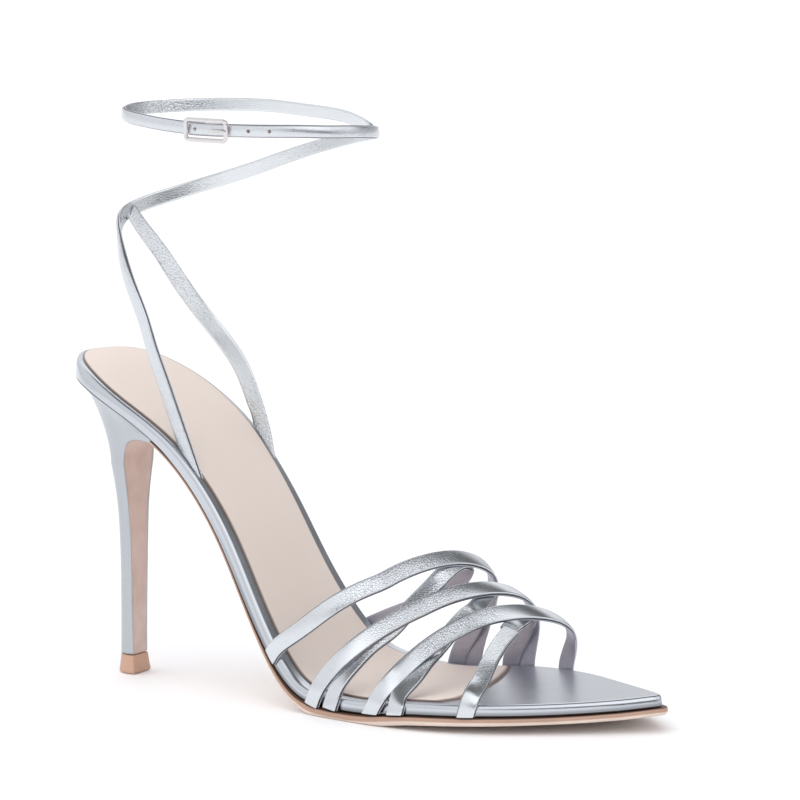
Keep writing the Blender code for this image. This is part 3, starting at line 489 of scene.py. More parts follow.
def colour_ramp(tree, source, stops):
    """Colour ramp over a value, through stops of position and colour."""
    ramp = add_node(tree, "ValToRGB", {"Fac": source})
    while len(ramp.color_ramp.elements) < len(stops):
        ramp.color_ramp.elements.new(0.5)
    for stop, (at, colour) in zip(ramp.color_ramp.elements, stops):
        stop.position = at
        stop.color = (*colour, 1.0)
    return ramp.outputs["Color"]


def sole_leather(name, face, edge_dark, edge_mid):
    """Sole leather: nude face, fibres drawn out along the shoe, edge inked dark above and brown below."""
    made = leather(name, face, tuple(0.86 * c for c in face), 0.0, 0.42, 0.58, 1300.0, 0.06, 0.12)
    tree = made.node_tree
    inked = colour_ramp(tree, mark_value(tree, "ink"), (
        (0.0, edge_dark), (0.03, edge_dark), (0.10, edge_mid), (0.45, edge_mid), (0.62, face), (1.0, face)))
    place = add_node(tree, "TexCoord").outputs["Object"]
    drawn = add_node(tree, "Mapping", {"Vector": place, "Scale": (0.25, 1.0, 1.0)}).outputs["Vector"]
    fibre = add_node(tree, "TexNoise", {"Vector": drawn, "Scale": 160.0, "Detail": 5.0}).outputs["Fac"]
    shade = colour_ramp(tree, fibre, ((0.3, (0.86, 0.84, 0.82)), (0.7, (1.0, 1.0, 1.0))))
    feed(made, "Base Color", mixed_colour(tree, 1.0, inked, shade, "MULTIPLY"))
    return made


sole_nude = sole_leather("outsole_nude_leather", (0.84, 0.71, 0.62), (0.12, 0.07, 0.05), (0.50, 0.32, 0.24))
outsole = grid_mesh("outsole_leather", sole_grid, [sole_nude], marks={"ink": ink})
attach(outsole, "root")
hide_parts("outsole")


# HEEL
# A slim moulded heel covered in the same silver leather. Level sections with a flat breast and a round back
# widen into a cup that follows the underside of the footbed, with a thin wing along each side.
HEEL = (
    # height, back station, front station, half width
    (6.4, 14.4, 19.8, 4.4),
    (24.0, 14.7, 19.7, 4.9),
    (46.0, 14.5, 19.7, 5.7),
    (58.0, 13.9, 19.5, 6.9),
    (70.0, 12.4, 19.6, 9.4),
)
HEEL_ROUND = 64  # points round the back of a section
CUP_BACK = 1.4  # station of the cup's back
CUP_INSET = 1.3  # how far the cup's rim stays inside the outline
LIP = 0.45  # width of the cover's turned edge beside the breast leather


def heel_section(level, back, front, width):
    """Level section, from the outer front corner round the back to the inner one: half a rounded oval."""
    angle = np.linspace(0.0, np.pi, HEEL_ROUND)
    level, back, front, width = (np.atleast_1d(value)[None, :] for value in (level, back, front, width))
    x = front - (front - back) * (np.sin(angle) ** 0.85)[:, None]
    y = -width * np.cos(angle)[:, None]
    return np.stack([x, y, np.broadcast_to(level, x.shape)], axis=-1)


def between(first, last, count):
    """Points spaced evenly between two rows, without the rows themselves."""
    share = np.linspace(0.0, 1.0, count + 2)[1:-1, None, None]
    return first * (1.0 - share) + last * share


levels = np.linspace(HEEL[0][0], HEEL[-1][0], 70)
shaft = heel_section(levels, *[natural_spline(column(HEEL, 0), column(HEEL, i))(levels) for i in (1, 2, 3)])
round_back = np.linspace(0.0, np.pi, HEEL_ROUND)
cup_x = BREAST_X - (BREAST_X - CUP_BACK) * np.sin(round_back) ** 0.9
cup_y = np.where(round_back < 0.5 * np.pi, CUP_INSET - half_width(OUTER_LINE, cup_x),
                 half_width(INNER_LINE, cup_x) - CUP_INSET)
cup_edge = on_sole(np.stack([cup_x, cup_y], axis=1), rand_depth(cup_x) + GAP)
behind = np.sin(round_back)[:, None] ** 0.7
blend = np.linspace(0.0, 1.0, 60)[None, 1:]
spread = (blend ** (2.3 - behind))[..., None]
climb = 1.0 - (1.0 - blend) ** (2.2 - behind)
cup = shaft[:, -1:] * (1.0 - spread) + cup_edge[:, None] * spread
cup[..., 2] = shaft[:, -1:, 2] * (1.0 - climb) + cup_edge[:, None, 2] * climb
heel_side = np.concatenate([shaft, cup], axis=1)
breast = heel_side[(0, -1), :]
breast_run = unit(np.gradient(breast.mean(axis=0)[:, (0, 2)], axis=0))
breast_out = np.stack([breast_run[:, 1], np.zeros(len(breast_run)), -breast_run[:, 0]], axis=1)
breast_width = np.linalg.norm(breast[1] - breast[0], axis=1)[None, :, None]
lip_share = np.array([0.0, 0.3, 1.0, 1.0])[:, None, None] * LIP / breast_width
lip_rise = np.array([0.9, 1.2, 1.15, 0.0])[:, None, None]
outer_lip, inner_lip = (near * (1.0 - lip_share) + far * lip_share + breast_out * lip_rise
                        for near, far in (breast, breast[::-1]))
heel_front = between(inner_lip[-1:], outer_lip[-1:], 8)
heel_grid = np.concatenate([heel_side, inner_lip, heel_front, outer_lip[::-1]])
heel_silver = leather("heel_silver_leather", (0.49, 0.52, 0.545), (0.45, 0.48, 0.505), 1.0, 0.26, 0.34,
    1500.0, 0.03, 0.04)
heel = grid_mesh("heel_cover", heel_grid, [heel_silver], caps=True)
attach(heel, "root")
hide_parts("heel")


# BREAST FLAP
# The outsole leather carried on down the front of the heel and pared thin, cemented between the two turned
# edges of the silver cover.
FLAP = 1.0  # thickness
FLAP_POINTS = 24  # points across each face
flap_inset = (LIP + 0.06) / breast_width[:, :-1]
flap_face = np.linspace(0.0, 1.0, FLAP_POINTS)
flap_across = np.append(flap_face, flap_face[::-1])[:, None, None]
flap_across = flap_inset + (1.0 - 2.0 * flap_inset) * flap_across
flap_front = GAP + FLAP * (1.0 - 0.30 * np.linspace(-1.0, 1.0, FLAP_POINTS) ** 8)
flap_rise = np.append(np.full(FLAP_POINTS, GAP), flap_front)[:, None, None]
flap_grid = breast[0, :-1] * (1.0 - flap_across) + breast[1, :-1] * flap_across + breast_out[:-1] * flap_rise
flap_ink = np.ones(flap_grid.shape[:2])
breast_nude = sole_leather("breast_nude_leather", (0.68, 0.53, 0.48), (0.2, 0.13, 0.1), (0.4, 0.28, 0.22))
flap = grid_mesh("breast_leather", flap_grid, [breast_nude], marks={"ink": flap_ink}, caps=True)
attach(flap, "root")
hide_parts("breast_flap")


# TOP LIFT
# The moulded wearing piece pinned under the heel: tan, a little flared toward the floor, its lower edge
# slightly rounded.
LIFT_HEIGHT = 6.0
LIFT_AHEAD = 1.2  # how far it reaches in front of the heel tip, under the breast leather
lift_rise = np.array([0.0, 0.0, 0.25, 0.7, 2.0, 4.0, 5.6, LIFT_HEIGHT, LIFT_HEIGHT])
lift_grow = np.array([0.2, 0.5, 0.72, 0.75, 0.55, 0.3, 0.12, 0.0, -0.4])
_, tip_back, tip_front, tip_half = HEEL[0]
lift_front = tip_front + LIFT_AHEAD + lift_grow
lift_arc = heel_section(lift_rise, tip_back - lift_grow, lift_front, tip_half + lift_grow)
lift_grid = np.concatenate([lift_arc, between(lift_arc[-1:], lift_arc[:1], 12)])
lift_tan = leather("top_lift_tan", (0.57, 0.36, 0.26), (0.52, 0.32, 0.22), 0.0, 0.45, 0.6,
    2600.0, 0.06, 0.08)
lift = grid_mesh("top_lift_block", lift_grid, [lift_tan], caps=True)
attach(lift, "root")
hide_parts("top_lift")


# TOE STRAPS
# Six narrow straps of grained silver leather, each folded over a soft filler and backed with a thin lining.
# They cross over the toes, three above and three below, and their ends go down outside the rand.
INSTEP = 41.3  # strap height above the footbed at the joint of the foot
STRAP = 1.5  # thickness
TOE_STRAP_WIDTH = 5.8
STRAP_OUT = STRAP / 2.0 + GAP + 0.2  # from the rim to the middle of a strap that hangs outside it
STRAP_DROP = RAND + 0.2  # how far a foot goes down past the rim
LINE_POINTS = 43  # points of a strap's middle line
TOE_STRAP_ROWS = 300  # sections of its surface
FACE_POINTS = 13  # points across its face
FACE_MIDDLE = 6  # number of the middle one
UNDER_SLIDE = 1.4  # how far an under strap moves forward as it comes up past the rand
UNDER_SINK = 1.55  # how far its line lies below the line of an upper strap where they cross
ARCH = (
    # station as a share of the length, height of the foot as a share of the instep
    (0.401, 1.492),
    (0.495, 1.242),
    (0.590, 1.000),
    (0.684, 0.782),
    (0.778, 0.542),
    (0.873, 0.310),
)
TOP_STRAPS = (
    # name, outer foot, climb, inner aim, forward bow, height share, skew, fullness, inner foot
    ("top_back", 87.3, 21.2, 136.7, 1.6, 0.988, 2.12, 0.183, 127.0),
    ("top_middle", 104.7, 14.2, 148.2, -4.8, 0.791, 3.19, 0.183, 144.0),
    ("top_front", 128.8, 12.7, 162.6, -9.7, 0.711, 3.10, 0.189, 158.5),
)
UNDER_STRAPS = (
    # name, outer foot, inner foot, then the way over the foot in x, y, z
    ("under_back", 113.0, 95.0, (
        (115.6, -31.0, 13.2), (117.4, -27.6, 17.2), (119.0, -22.9, 21.4), (123.3, -15.0, 27.3),
        (126.1, -6.2, 33.4), (128.7, 4.4, 39.0), (131.0, 16.5, 43.9), (131.2, 21.5, 43.6),
        (129.8, 25.4, 41.0), (125.0, 28.4, 36.0), (117.0, 29.2, 30.0), (107.5, 27.9, 24.8),
        (100.0, 26.1, 21.3),
    )),
    ("under_middle", 137.8, 121.5, (
        (141.2, -35.2, 12.5), (142.5, -29.8, 17.1), (142.4, -21.6, 21.2), (140.9, -11.6, 24.7),
        (139.9, 1.0, 29.4), (140.1, 14.3, 33.4), (139.5, 21.5, 35.2), (138.2, 27.0, 36.0),
        (136.2, 30.4, 34.0), (132.6, 32.2, 28.6), (128.4, 32.3, 20.6), (124.6, 32.2, 13.4),
    )),
    ("under_front", 161.6, 138.5, (
        (162.9, -29.6, 13.7), (162.4, -24.2, 17.6), (161.1, -17.2, 21.2), (159.3, -8.2, 24.6),
        (156.8, 4.0, 27.2), (152.6, 20.5, 29.0), (151.0, 27.0, 28.3), (149.4, 31.6, 27.0),
        (146.4, 35.2, 23.0), (142.8, 36.8, 16.4), (140.2, 37.2, 11.4),
    )),
)
STRAP_LEAN = {
    # how far the faces lean toward the toe and up, against outward, how late, and over what height they turn
    "top_back": (1.00, 0.66, 1.0, 14.0),
    "top_middle": (1.00, 0.66, 1.0, 14.0),
    "top_front": (1.20, 0.55, 0.55, 6.5),
    "under_back": (0.66, 0.80, 1.0, 14.0),
    "under_middle": (0.50, 0.85, 1.0, 14.0),
    "under_front": (0.32, 0.88, 1.0, 14.0),
}
UNDER_HOLD = {
    # how firmly each under strap takes the facing of the strap above it
    "under_back": 0.80,
    "under_middle": 0.35,
    "under_front": 0.10,
}
arch_height = natural_spline(column(ARCH, 0) * LENGTH, column(ARCH, 1) * INSTEP)


def edge_slope(line, x):
    """How fast one side of the outline widens toward the toe."""
    return (half_width(line, x + 2.0) - half_width(line, x - 2.0)) / 4.0


def foot_point(x, share, height, skew, full):
    """Point of the foot arch at a station: share runs from the outer rim to the inner one, and the height is
    the arch height times a skewed sine raised to the fullness."""
    outer = -half_width(OUTER_LINE, x) - STRAP_OUT * np.hypot(1.0, edge_slope(OUTER_LINE, x))
    inner = half_width(INNER_LINE, x) + STRAP_OUT * np.hypot(1.0, edge_slope(INNER_LINE, x))
    y = outer + (inner - outer) * share
    rise = np.maximum(np.sin(np.pi * np.clip(share, 0.0, 1.0) ** skew), 0.0) ** full
    return np.stack([x, y, footbed_top(x, y) + 0.5 + (height * arch_height(x) - 0.5) * rise], axis=-1)


def strap_end(station, side):
    """Rim point and low end of a toe strap at a station, outside the rand of the outer or the inner side."""
    rim = foot_point(np.array([station]), np.array([side]), 1.0, 2.0, 0.3)[0]
    rim[2] = footbed_top(station, rim[1]) + 0.4
    return rim, rim - sole_normal(station) * STRAP_DROP


def top_path(outer, climb, inner, bow, height, skew, full, foot):
    """Middle line of a top strap: slanting up the outer side by the climb, over the foot arch along a bowed
    plan line, and down the inner wall to its foot."""
    parts = ((0.012, 0.12, 7), (0.17, 0.86, 20), (0.89, 0.99, 8))
    share = np.concatenate([np.linspace(*part) for part in parts])
    rise = np.sin(np.pi * share ** skew) ** full
    wall = np.where(share > 0.8, np.maximum(1.0 - rise / 0.9, 0.0), 0.0)
    edge = outer + climb / (0.8 * height * float(arch_height(outer))) * STRAP_DROP
    x = edge + (inner - edge) * share + bow * np.sin(np.pi * share) - (inner - foot) * wall
    x += climb * np.minimum(rise / 0.8, 1.0) * (1.0 - share)
    over = foot_point(x, share, height, skew, full)
    first_rim, first_low = strap_end(edge, 0.0)
    first_low[:2] = outer, strap_end(outer, 0.0)[1][1]
    last_rim, last_low = strap_end(foot, 1.0)
    return path_spline(np.concatenate([[first_low, first_rim], over, [last_rim, last_low]]), LINE_POINTS)


def under_path(outer, foot, way):
    """Middle line of an under strap: up past the rand, along its waypoints and down to the inner foot."""
    first_rim = strap_end(outer + UNDER_SLIDE, 0.0)[0] + np.array([0.0, 0.0, 1.3])
    first_low = strap_end(outer, 0.0)[1]
    last_rim, last_low = strap_end(foot, 1.0)
    return path_spline(np.concatenate([[first_low, first_rim], way, [last_rim, last_low]]), LINE_POINTS)


def crossings(a, b):
    """Places where two plan lines cross, as pairs of index along each: every segment against every other."""
    def area(one, two):
        """Area that two plan directions span."""
        return one[..., 0] * two[..., 1] - one[..., 1] * two[..., 0]

    p, r = a[:-1, None, :2], np.diff(a[:, :2], axis=0)[:, None]
    q, s = b[None, :-1, :2], np.diff(b[:, :2], axis=0)[None]
    whole = area(r, s)
    whole = np.where(np.abs(whole) < 1e-9, 1e9, whole)
    t, u = area(q - p, s) / whole, area(q - p, r) / whole
    i, j = np.nonzero((t >= 0.0) & (t < 1.0) & (u >= 0.0) & (u < 1.0))
    return np.stack([i + t[i, j], j + u[i, j]], axis=1)


def strap_section(thick):
    """Cross-section of a strap as (share of the half width, inset, height): a crowned face, rolled edges, a
    fine groove under each, and a thin lining behind. A fourth column gives the material of the strip that
    follows."""
    top = 0.5 * thick
    round_edge, fold, crowned = 0.42, 0.28, 0.14
    face = np.linspace(-1.0, 1.0, FACE_POINTS)
    crown = np.stack([face, -face * (round_edge + fold), top + crowned * (1.0 - face ** 2) - crowned / 2.0,
                      np.zeros(FACE_POINTS)], axis=1)
    roll = np.radians(np.array([70.0, 45.0, 20.0, -5.0, -30.0]))
    rolled = np.stack([np.ones(5), round_edge * (np.cos(roll) - 1.0) - fold,
                       top - crowned / 2.0 + round_edge * (np.sin(roll) - 1.0), np.zeros(5)], axis=1)
    tuck = np.array([
        (1.0, -0.18 - fold, -0.12, 1.0),
        (1.0, -0.34 - fold, -0.22, 1.0),
        (1.0, -0.10, -0.28, 0.0),
        (1.0, 0.0, -0.40, 2.0),
        (1.0, -0.06, 0.09 - top, 2.0),
    ])
    lining = np.linspace(1.0, -1.0, 9)
    back = np.stack([lining, -lining * 0.2, np.full(9, -top), np.full(9, 2.0)], axis=1)
    mirrored = np.concatenate([rolled, tuck])[::-1] * np.array([-1.0, -1.0, 1.0, 1.0])
    mirrored[:, 3] = np.append([2.0, 0.0, 1.0, 1.0, 1.0], np.zeros(5))
    return np.concatenate([crown, rolled, tuck, back, mirrored])


def ribbon_surface(path, outward, width, section, lean=None):
    """Carries a strap section along a path. The face looks outward, squared to the path; lean tilts the
    first sections so that the foot is cut along the rim."""
    tangent = unit(np.gradient(path, axis=0))
    face = unit(outward - (outward * tangent).sum(axis=1)[:, None] * tangent)
    across = np.cross(tangent, face)
    if lean is not None:
        direction, share = lean
        slant = direction - (direction * face).sum(axis=1)[:, None] * face
        slant /= (slant * across).sum(axis=1)[:, None]
        across = across * (1.0 - share[:, None]) + slant * share[:, None]
    side = section[:, 0][:, None] * width[None] / 2.0 + section[:, 1][:, None]
    return path[None] + across[None] * side[..., None] + face[None] * section[:, 2][:, None, None]


strap_silver = leather("strap_silver_leather", (0.70, 0.73, 0.76), (0.46, 0.48, 0.52), 1.0, 0.16, 0.24,
    1350.0, 0.10, 0.46, worked=True)
# The groove under each rolled edge is near black: painted shade for the shade in the groove.
strap_groove = leather("strap_groove_painted_shade", (0.10, 0.10, 0.12), (0.06, 0.06, 0.07), 0.3, 0.5, 0.7,
    1500.0, 0.05, 0.1)
strap_lining = leather("strap_lining_leather", (0.50, 0.49, 0.56), (0.38, 0.37, 0.44), 0.8, 0.34, 0.46,
    1400.0, 0.06, 0.35)
section = strap_section(STRAP)


def toe_strap_surface(name, line, holds=()):
    """Strap section carried along a toe strap's line: facing level at the feet and leaning with the foot
    above, both feet cut along the rim. holds lists where it lies under another strap, as a share of the
    length, and the facing of that strap, which it takes on over a few millimetres."""
    foot_middle, foot_half, cut_length, hold_length = 4.0, 36.0, 9.0, 5.5
    line = path_spline(line, TOE_STRAP_ROWS)
    x, y = line[:, 0], line[:, 1]
    above_rim = line[:, 2] - rim_height(x)
    forward, up, late, turn_height = STRAP_LEAN[name]
    tall = np.clip(above_rim / arch_height(x), 0.0, 1.1) ** late
    away = unit(np.stack([forward * tall, (y - foot_middle) / foot_half, up * tall], axis=1))
    hand = np.where(y < 0.0, -1.0, 1.0)
    veer = np.where(hand < 0.0, edge_slope(OUTER_LINE, x), edge_slope(INNER_LINE, x))
    level_out = np.stack([-veer, hand, np.zeros(len(line))], axis=1) / np.hypot(1.0, veer)[:, None]
    low_share = np.clip(1.25 - above_rim / turn_height, 0.0, 1.0)[:, None]
    run = run_length(line)
    cut = smooth(0.0, 1.0, 1.0 - np.minimum(run, run[-1] - run) / cut_length)
    normal = sole_normal(x)
    edge_run = np.stack([normal[:, 2], hand * veer * normal[:, 2], -normal[:, 0]], axis=1)
    facing = unit(away * (1.0 - low_share) + level_out * low_share)
    for share, normal_above in holds:
        hold = UNDER_HOLD[name] * np.exp(-((run - share * run[-1]) / hold_length) ** 2)[:, None]
        facing = facing * (1.0 - hold) + normal_above * hold
    return ribbon_surface(line, facing, np.full(len(line), TOE_STRAP_WIDTH), section, (edge_run, cut))


def pressed_under(surface, above):
    """Moves the sections of a strap down along the facing of the strap above it until they clear its back,
    and eases the move along the strap: the largest overlap of each section, widened and averaged over its
    neighbours."""
    beyond, along_reach, clear, most, widen, ease = 0.9, 1.5, 0.12, 4.0, 8, 15
    middle = above[FACE_MIDDLE]
    along = unit(np.gradient(middle, axis=0))
    across = unit(above[FACE_POINTS - 1] - above[0])
    facing = np.cross(across, along)
    near = np.argmin(np.linalg.norm(surface[:FACE_POINTS, :, None] - middle, axis=3), axis=2)
    reach = surface[:FACE_POINTS] - middle[near]
    beside = np.abs((reach * across[near]).sum(axis=2)) < TOE_STRAP_WIDTH / 2.0 + beyond
    beside &= np.abs((reach * along[near]).sum(axis=2)) < along_reach
    over = np.where(beside, (reach * facing[near]).sum(axis=2) + STRAP + clear, 0.0)
    share = np.linspace(0.0, 1.0, TOE_STRAP_ROWS)
    over = np.clip(over, 0.0, most).max(axis=0)
    over = over * smooth(0.03, 0.12, share) * (1.0 - smooth(0.62, 0.75, share))
    wide = np.lib.stride_tricks.sliding_window_view(np.pad(over, widen), 2 * widen + 1).max(axis=1)
    bell = np.exp(-np.linspace(-2.0, 2.0, 2 * ease + 1) ** 2)
    eased = np.convolve(np.pad(wide, ease), bell / bell.sum(), "valid")
    down = (facing[near[FACE_MIDDLE]] * eased[:, None]).sum(axis=0)
    down /= max(np.linalg.norm(down), 1e-6)
    return surface - down * eased[:, None]


def strap_mesh(name, surface, section, lining, worked):
    """Mesh of a strap with its silver face, dark groove and lining, its grain shown along it as worked."""
    marks = {"worked": np.broadcast_to(worked, surface.shape[:2])}
    finish = [strap_silver, strap_groove, lining]
    return grid_mesh(name, surface, finish, section[:, 3].astype(int), marks, caps=True)


toe_lines = {row[0]: top_path(*row[1:]) for row in TOP_STRAPS}
toe_surfaces = {name: toe_strap_surface(name, line) for name, line in toe_lines.items()}
steps = np.arange(LINE_POINTS)
for name, outer, foot, way in UNDER_STRAPS:
    line = under_path(outer, foot, way)
    knots = [(0.0, 0.0), (4.0, 0.0), (LINE_POINTS - 10.0, 0.0), (LINE_POINTS - 1.0, 0.0)]
    holds = []
    for upper, *_ in TOP_STRAPS:
        above, face = toe_lines[upper], toe_surfaces[upper]
        for mine, theirs in crossings(line, above):
            if 5.0 < mine < LINE_POINTS - 14.0:
                sink = np.interp(theirs, steps, above[:, 2]) - UNDER_SINK
                knots.append((float(mine), float(sink - np.interp(mine, steps, line[:, 2]))))
                at = int(theirs / steps[-1] * (TOE_STRAP_ROWS - 1))
                ahead_above = face[FACE_MIDDLE, at + 2] - face[FACE_MIDDLE, at - 2]
                normal_above = np.cross(face[FACE_POINTS - 1, at] - face[0, at], ahead_above)
                holds.append((mine / steps[-1], unit(normal_above)))
    knots = np.array(sorted(knots))
    line[:, 2] += np.interp(steps, knots[:, 0], knots[:, 1])
    toe_surfaces[name] = toe_strap_surface(name, path_spline(line[::3], LINE_POINTS), holds)
    for upper, *_ in TOP_STRAPS:
        toe_surfaces[name] = pressed_under(toe_surfaces[name], toe_surfaces[upper])
share = np.linspace(0.0, 1.0, TOE_STRAP_ROWS)
for name, surface in toe_surfaces.items():
    first, last = (0.05, 0.48) if name.startswith("under") else (0.17, 0.50)
    worked = 0.12 + 0.88 * smooth(first, first + 0.14, share) * (1.0 - smooth(last, last + 0.14, share))
    strap = strap_mesh("toe_strap_" + name, surface, section, strap_lining, worked)
    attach(strap, "root")
    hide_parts("vamp_straps")


# ANKLE STRAPS
# The long strap rises from the outer waist, passes round the back and the inner side and comes round the
# front to the buckle. A short strap from the inner waist is sewn under it at the back, and the buckle end
# closes the ring.
BAND_WIDTH = 4.2
LONG_STRAP = (
    # x, y, z in millimetres from the heel back
    (52.0, -22.6, 81.0), (48.4, -23.6, 91.7), (45.0, -24.6, 102.0), (41.6, -25.2, 111.5),
    (38.2, -25.4, 121.7), (33.6, -24.2, 130.3), (27.6, -20.0, 139.2), (21.6, -12.6, 145.6),
    (18.2, -7.0, 149.0), (16.9, -2.0, 151.6), (17.5, 3.0, 153.0), (19.6, 8.0, 154.4),
    (23.8, 13.4, 156.2), (30.2, 19.4, 158.7), (39.2, 25.0, 161.9), (50.2, 28.6, 165.9),
    (65.7, 30.0, 171.6), (77.0, 28.5, 175.0), (90.6, 23.4, 178.6), (99.4, 17.0, 180.6),
    (105.6, 8.0, 182.2), (107.2, -0.5, 183.2), (105.6, -8.4, 183.9), (100.8, -15.9, 184.3),
    (94.4, -21.3, 184.6), (85.7, -25.9, 184.6), (75.2, -29.0, 184.5), (65.0, -30.0, 184.4),
    (58.6, -29.9, 184.4),
)
INNER_STRAP = (
    # x, y, z
    (53.4, 24.0, 81.0), (48.5, 25.8, 91.6), (44.0, 26.8, 99.6), (36.5, 27.0, 108.6),
    (29.6, 25.4, 117.0), (24.6, 21.8, 125.6), (21.4, 16.0, 134.8), (19.9, 10.4, 141.3),
    (18.8, 4.6, 147.3), (18.2, 1.6, 150.8), (18.0, 0.2, 152.2),
)
BUCKLE_STRAP = (
    # x, y, z
    (63.4, -28.7, 184.4), (56.8, -28.7, 184.5), (51.0, -28.5, 184.8), (44.4, -27.1, 185.1),
    (36.9, -23.9, 185.4), (28.4, -18.2, 185.5), (22.6, -11.0, 185.6), (19.6, -3.0, 185.6),
    (19.9, 4.4, 185.6), (22.9, 11.6, 185.6), (33.4, 22.0, 185.9), (44.1, 27.0, 186.0),
    (54.4, 29.3, 185.9), (66.5, 29.9, 185.2), (79.6, 27.9, 184.6), (90.0, 23.0, 183.6),
    (97.4, 17.2, 182.4), (101.8, 11.0, 182.6),
)
BANDS = (
    # name, waypoints, side of its foot, sections, then by share of the length: width, grain shown, lean up
    ("long", LONG_STRAP, -1, 720,
     ((0.0, 5.4), (0.25, 5.0), (0.4, 4.7), (0.7, BAND_WIDTH), (1.0, BAND_WIDTH)),
     ((0.0, 1.0), (0.06, 0.9), (0.14, 0.4), (0.22, 0.3), (0.28, 0.9), (0.36, 0.3), (0.5, 0.2), (0.62, 0.9),
      (0.7, 0.3), (0.78, 0.9), (0.84, 0.2), (1.0, 0.3)),
     ((0.0, 0.0), (0.28, 0.02), (0.36, -0.20), (0.44, -0.02), (0.54, 0.0), (0.63, -0.20), (0.70, 0.0),
      (0.755, 0.14), (0.83, 0.14), (0.90, 0.02), (1.0, 0.08))),
    ("inner", INNER_STRAP, 1, 240,
     ((0.0, 5.6), (1.0, 5.4)),
     ((0.0, 1.0), (0.14, 1.0), (0.24, 0.2), (0.45, 0.1), (0.6, 0.8), (0.8, 1.0), (1.0, 0.6)),
     ((0.0, 0.02), (0.2, 0.06), (0.35, -0.08), (0.55, 0.02), (0.8, -0.16), (1.0, -0.06))),
    ("buckle", BUCKLE_STRAP, 0, 480,
     ((0.0, BAND_WIDTH), (1.0, BAND_WIDTH)),
     ((0.0, 0.4), (0.12, 0.2), (0.3, 0.9), (0.45, 1.0), (0.6, 0.2), (1.0, 0.2)),
     ((0.0, 0.05), (0.12, 0.09), (0.25, 0.08), (0.36, -0.15), (0.52, -0.11), (0.66, 0.0), (1.0, -0.04))),
)
FOOT_MARGIN = 2.3  # how far inside the rim a rear strap's foot stands
FOOT_CUT = 18.0  # length over which its sections turn square


def leg_normal(points):
    """Outward direction of the leg, level: the normal of an oval round the ankle."""
    middle = np.interp(points[:, 2], (80.0, 150.0, 180.0), (62.0, 62.0, 63.4))
    ahead, aside = (points[:, 0] - middle) / 44.0 ** 2, points[:, 1] / 30.0 ** 2
    return unit(np.stack([ahead, aside, np.zeros(len(points))], axis=1))


def strap_foot(table, side):
    """Waypoints of a rear strap with its foot set on the footbed's margin."""
    line = OUTER_LINE if side < 0 else INNER_LINE
    station = table[0][0] + 1.6
    plan = np.array([[station, side * (half_width(line, station) - FOOT_MARGIN)]])
    return np.concatenate([on_sole(plan, np.array([-GAP - 0.15])), np.array(table)])


band_lining = leather("band_lining_leather", (0.75, 0.78, 0.80), (0.40, 0.42, 0.46), 1.0, 0.16, 0.24,
    1350.0, 0.10, 0.60, worked=True)
band_section = strap_section(STRAP - 0.1)
band_lines = {}
for name, table, side, rows, wide, worn, tips in BANDS:
    line = path_spline(strap_foot(table, side) if side else np.array(table), rows)
    band_lines[name] = line
    run = np.linspace(0.0, 1.0, rows)
    lean = None
    if side:
        normal = sole_normal(line[0, 0])
        slant = np.broadcast_to([normal[2], 0.0, -normal[0]], line.shape)
        lean = (slant, smooth(0.0, 1.0, 1.0 - run * run_length(line)[-1] / FOOT_CUT))
    facing = leg_normal(line)
    facing[:, 2] = natural_spline(column(tips, 0), column(tips, 1))(run)
    width = np.interp(run, column(wide, 0), column(wide, 1))
    surface = ribbon_surface(line, facing, width, band_section, lean)
    worked = np.interp(run, column(worn, 0), column(worn, 1))
    strap = strap_mesh("ankle_strap_" + name, surface, band_section, band_lining, worked)
    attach(strap, "root")
    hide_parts("ankle_straps")


# STRAP HOLES
# Round holes punched through the leather of the long strap's end for the prong, each drawn as a dark brown
# disc laid on the strap's face.
# Their lips are pressed in a little. The disc's dark is partly the cut leather inside and partly painted
# shadow for the depth of the hole.
HOLE_RADIUS = 0.55
HOLE_STATIONS = (61.4, 79.6, 86.0)
# Dark brown disc colour: partly cut leather, partly painted shadow for the hole's depth.
hole_dark = leather("hole_shadow", (0.16, 0.11, 0.10), (0.10, 0.07, 0.06), 0.0, 0.6, 0.8, 1500.0, 0.05, 0.1)
hole_reach = np.array([0.02, 0.5, 0.8, 0.92, 1.0, 1.12])[None, :, None] * HOLE_RADIUS
hole_lip = STRAP / 2.0 + 0.02 + np.array([0.00, 0.00, 0.02, 0.06, 0.05, -0.10])[None, :, None]
ring = np.linspace(0.0, 2.0 * np.pi, 28, endpoint=False)[:, None, None]
band_end = band_lines["long"][-220:]
for number, station in enumerate(HOLE_STATIONS, 1):
    spot = band_end[np.argmin(np.abs(band_end[:, 0] - station))]
    facing = leg_normal(spot[None])[0]
    sideways = np.array([-facing[1], facing[0], 0.0])
    circle = np.cos(ring) * sideways + np.sin(ring) * np.array([0.0, 0.0, 1.0])
    hole = grid_mesh("strap_hole_%d" % number, spot + facing * hole_lip + circle * hole_reach, [hole_dark])
    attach(hole, "root")


# BUCKLE
# A small frame bent from polished metal wire and flattened a little, with a round prong that rests on its
# front bar. It lies on the face of the band, where the strap's end is fastened.
BUCKLE_CENTRE = np.array([65.8, -30.0, 184.4])
BUCKLE_LONG = 16.2
BUCKLE_TALL = 7.8
BUCKLE_BOW = 0.0065  # how the frame curves with the leg, per millimetre squared
BAND_FACE = STRAP / 2.0 + 0.1 + GAP  # from the band's middle to the back of the wire
WIRE = 0.7  # half the thickness of the frame wire
PIN = 0.5  # radius of the prong
CORNER = 1.2  # bend of the wire's middle line at a corner
CORNER_POINTS = 12
PRONG = (
    # along the band, rise off it
    (1.2, 0.0),
    (2.6, 0.1),
    (4.2, 0.5),
    (5.7, 1.1),
    (7.1, 1.45),
    (8.2, 1.4),
)


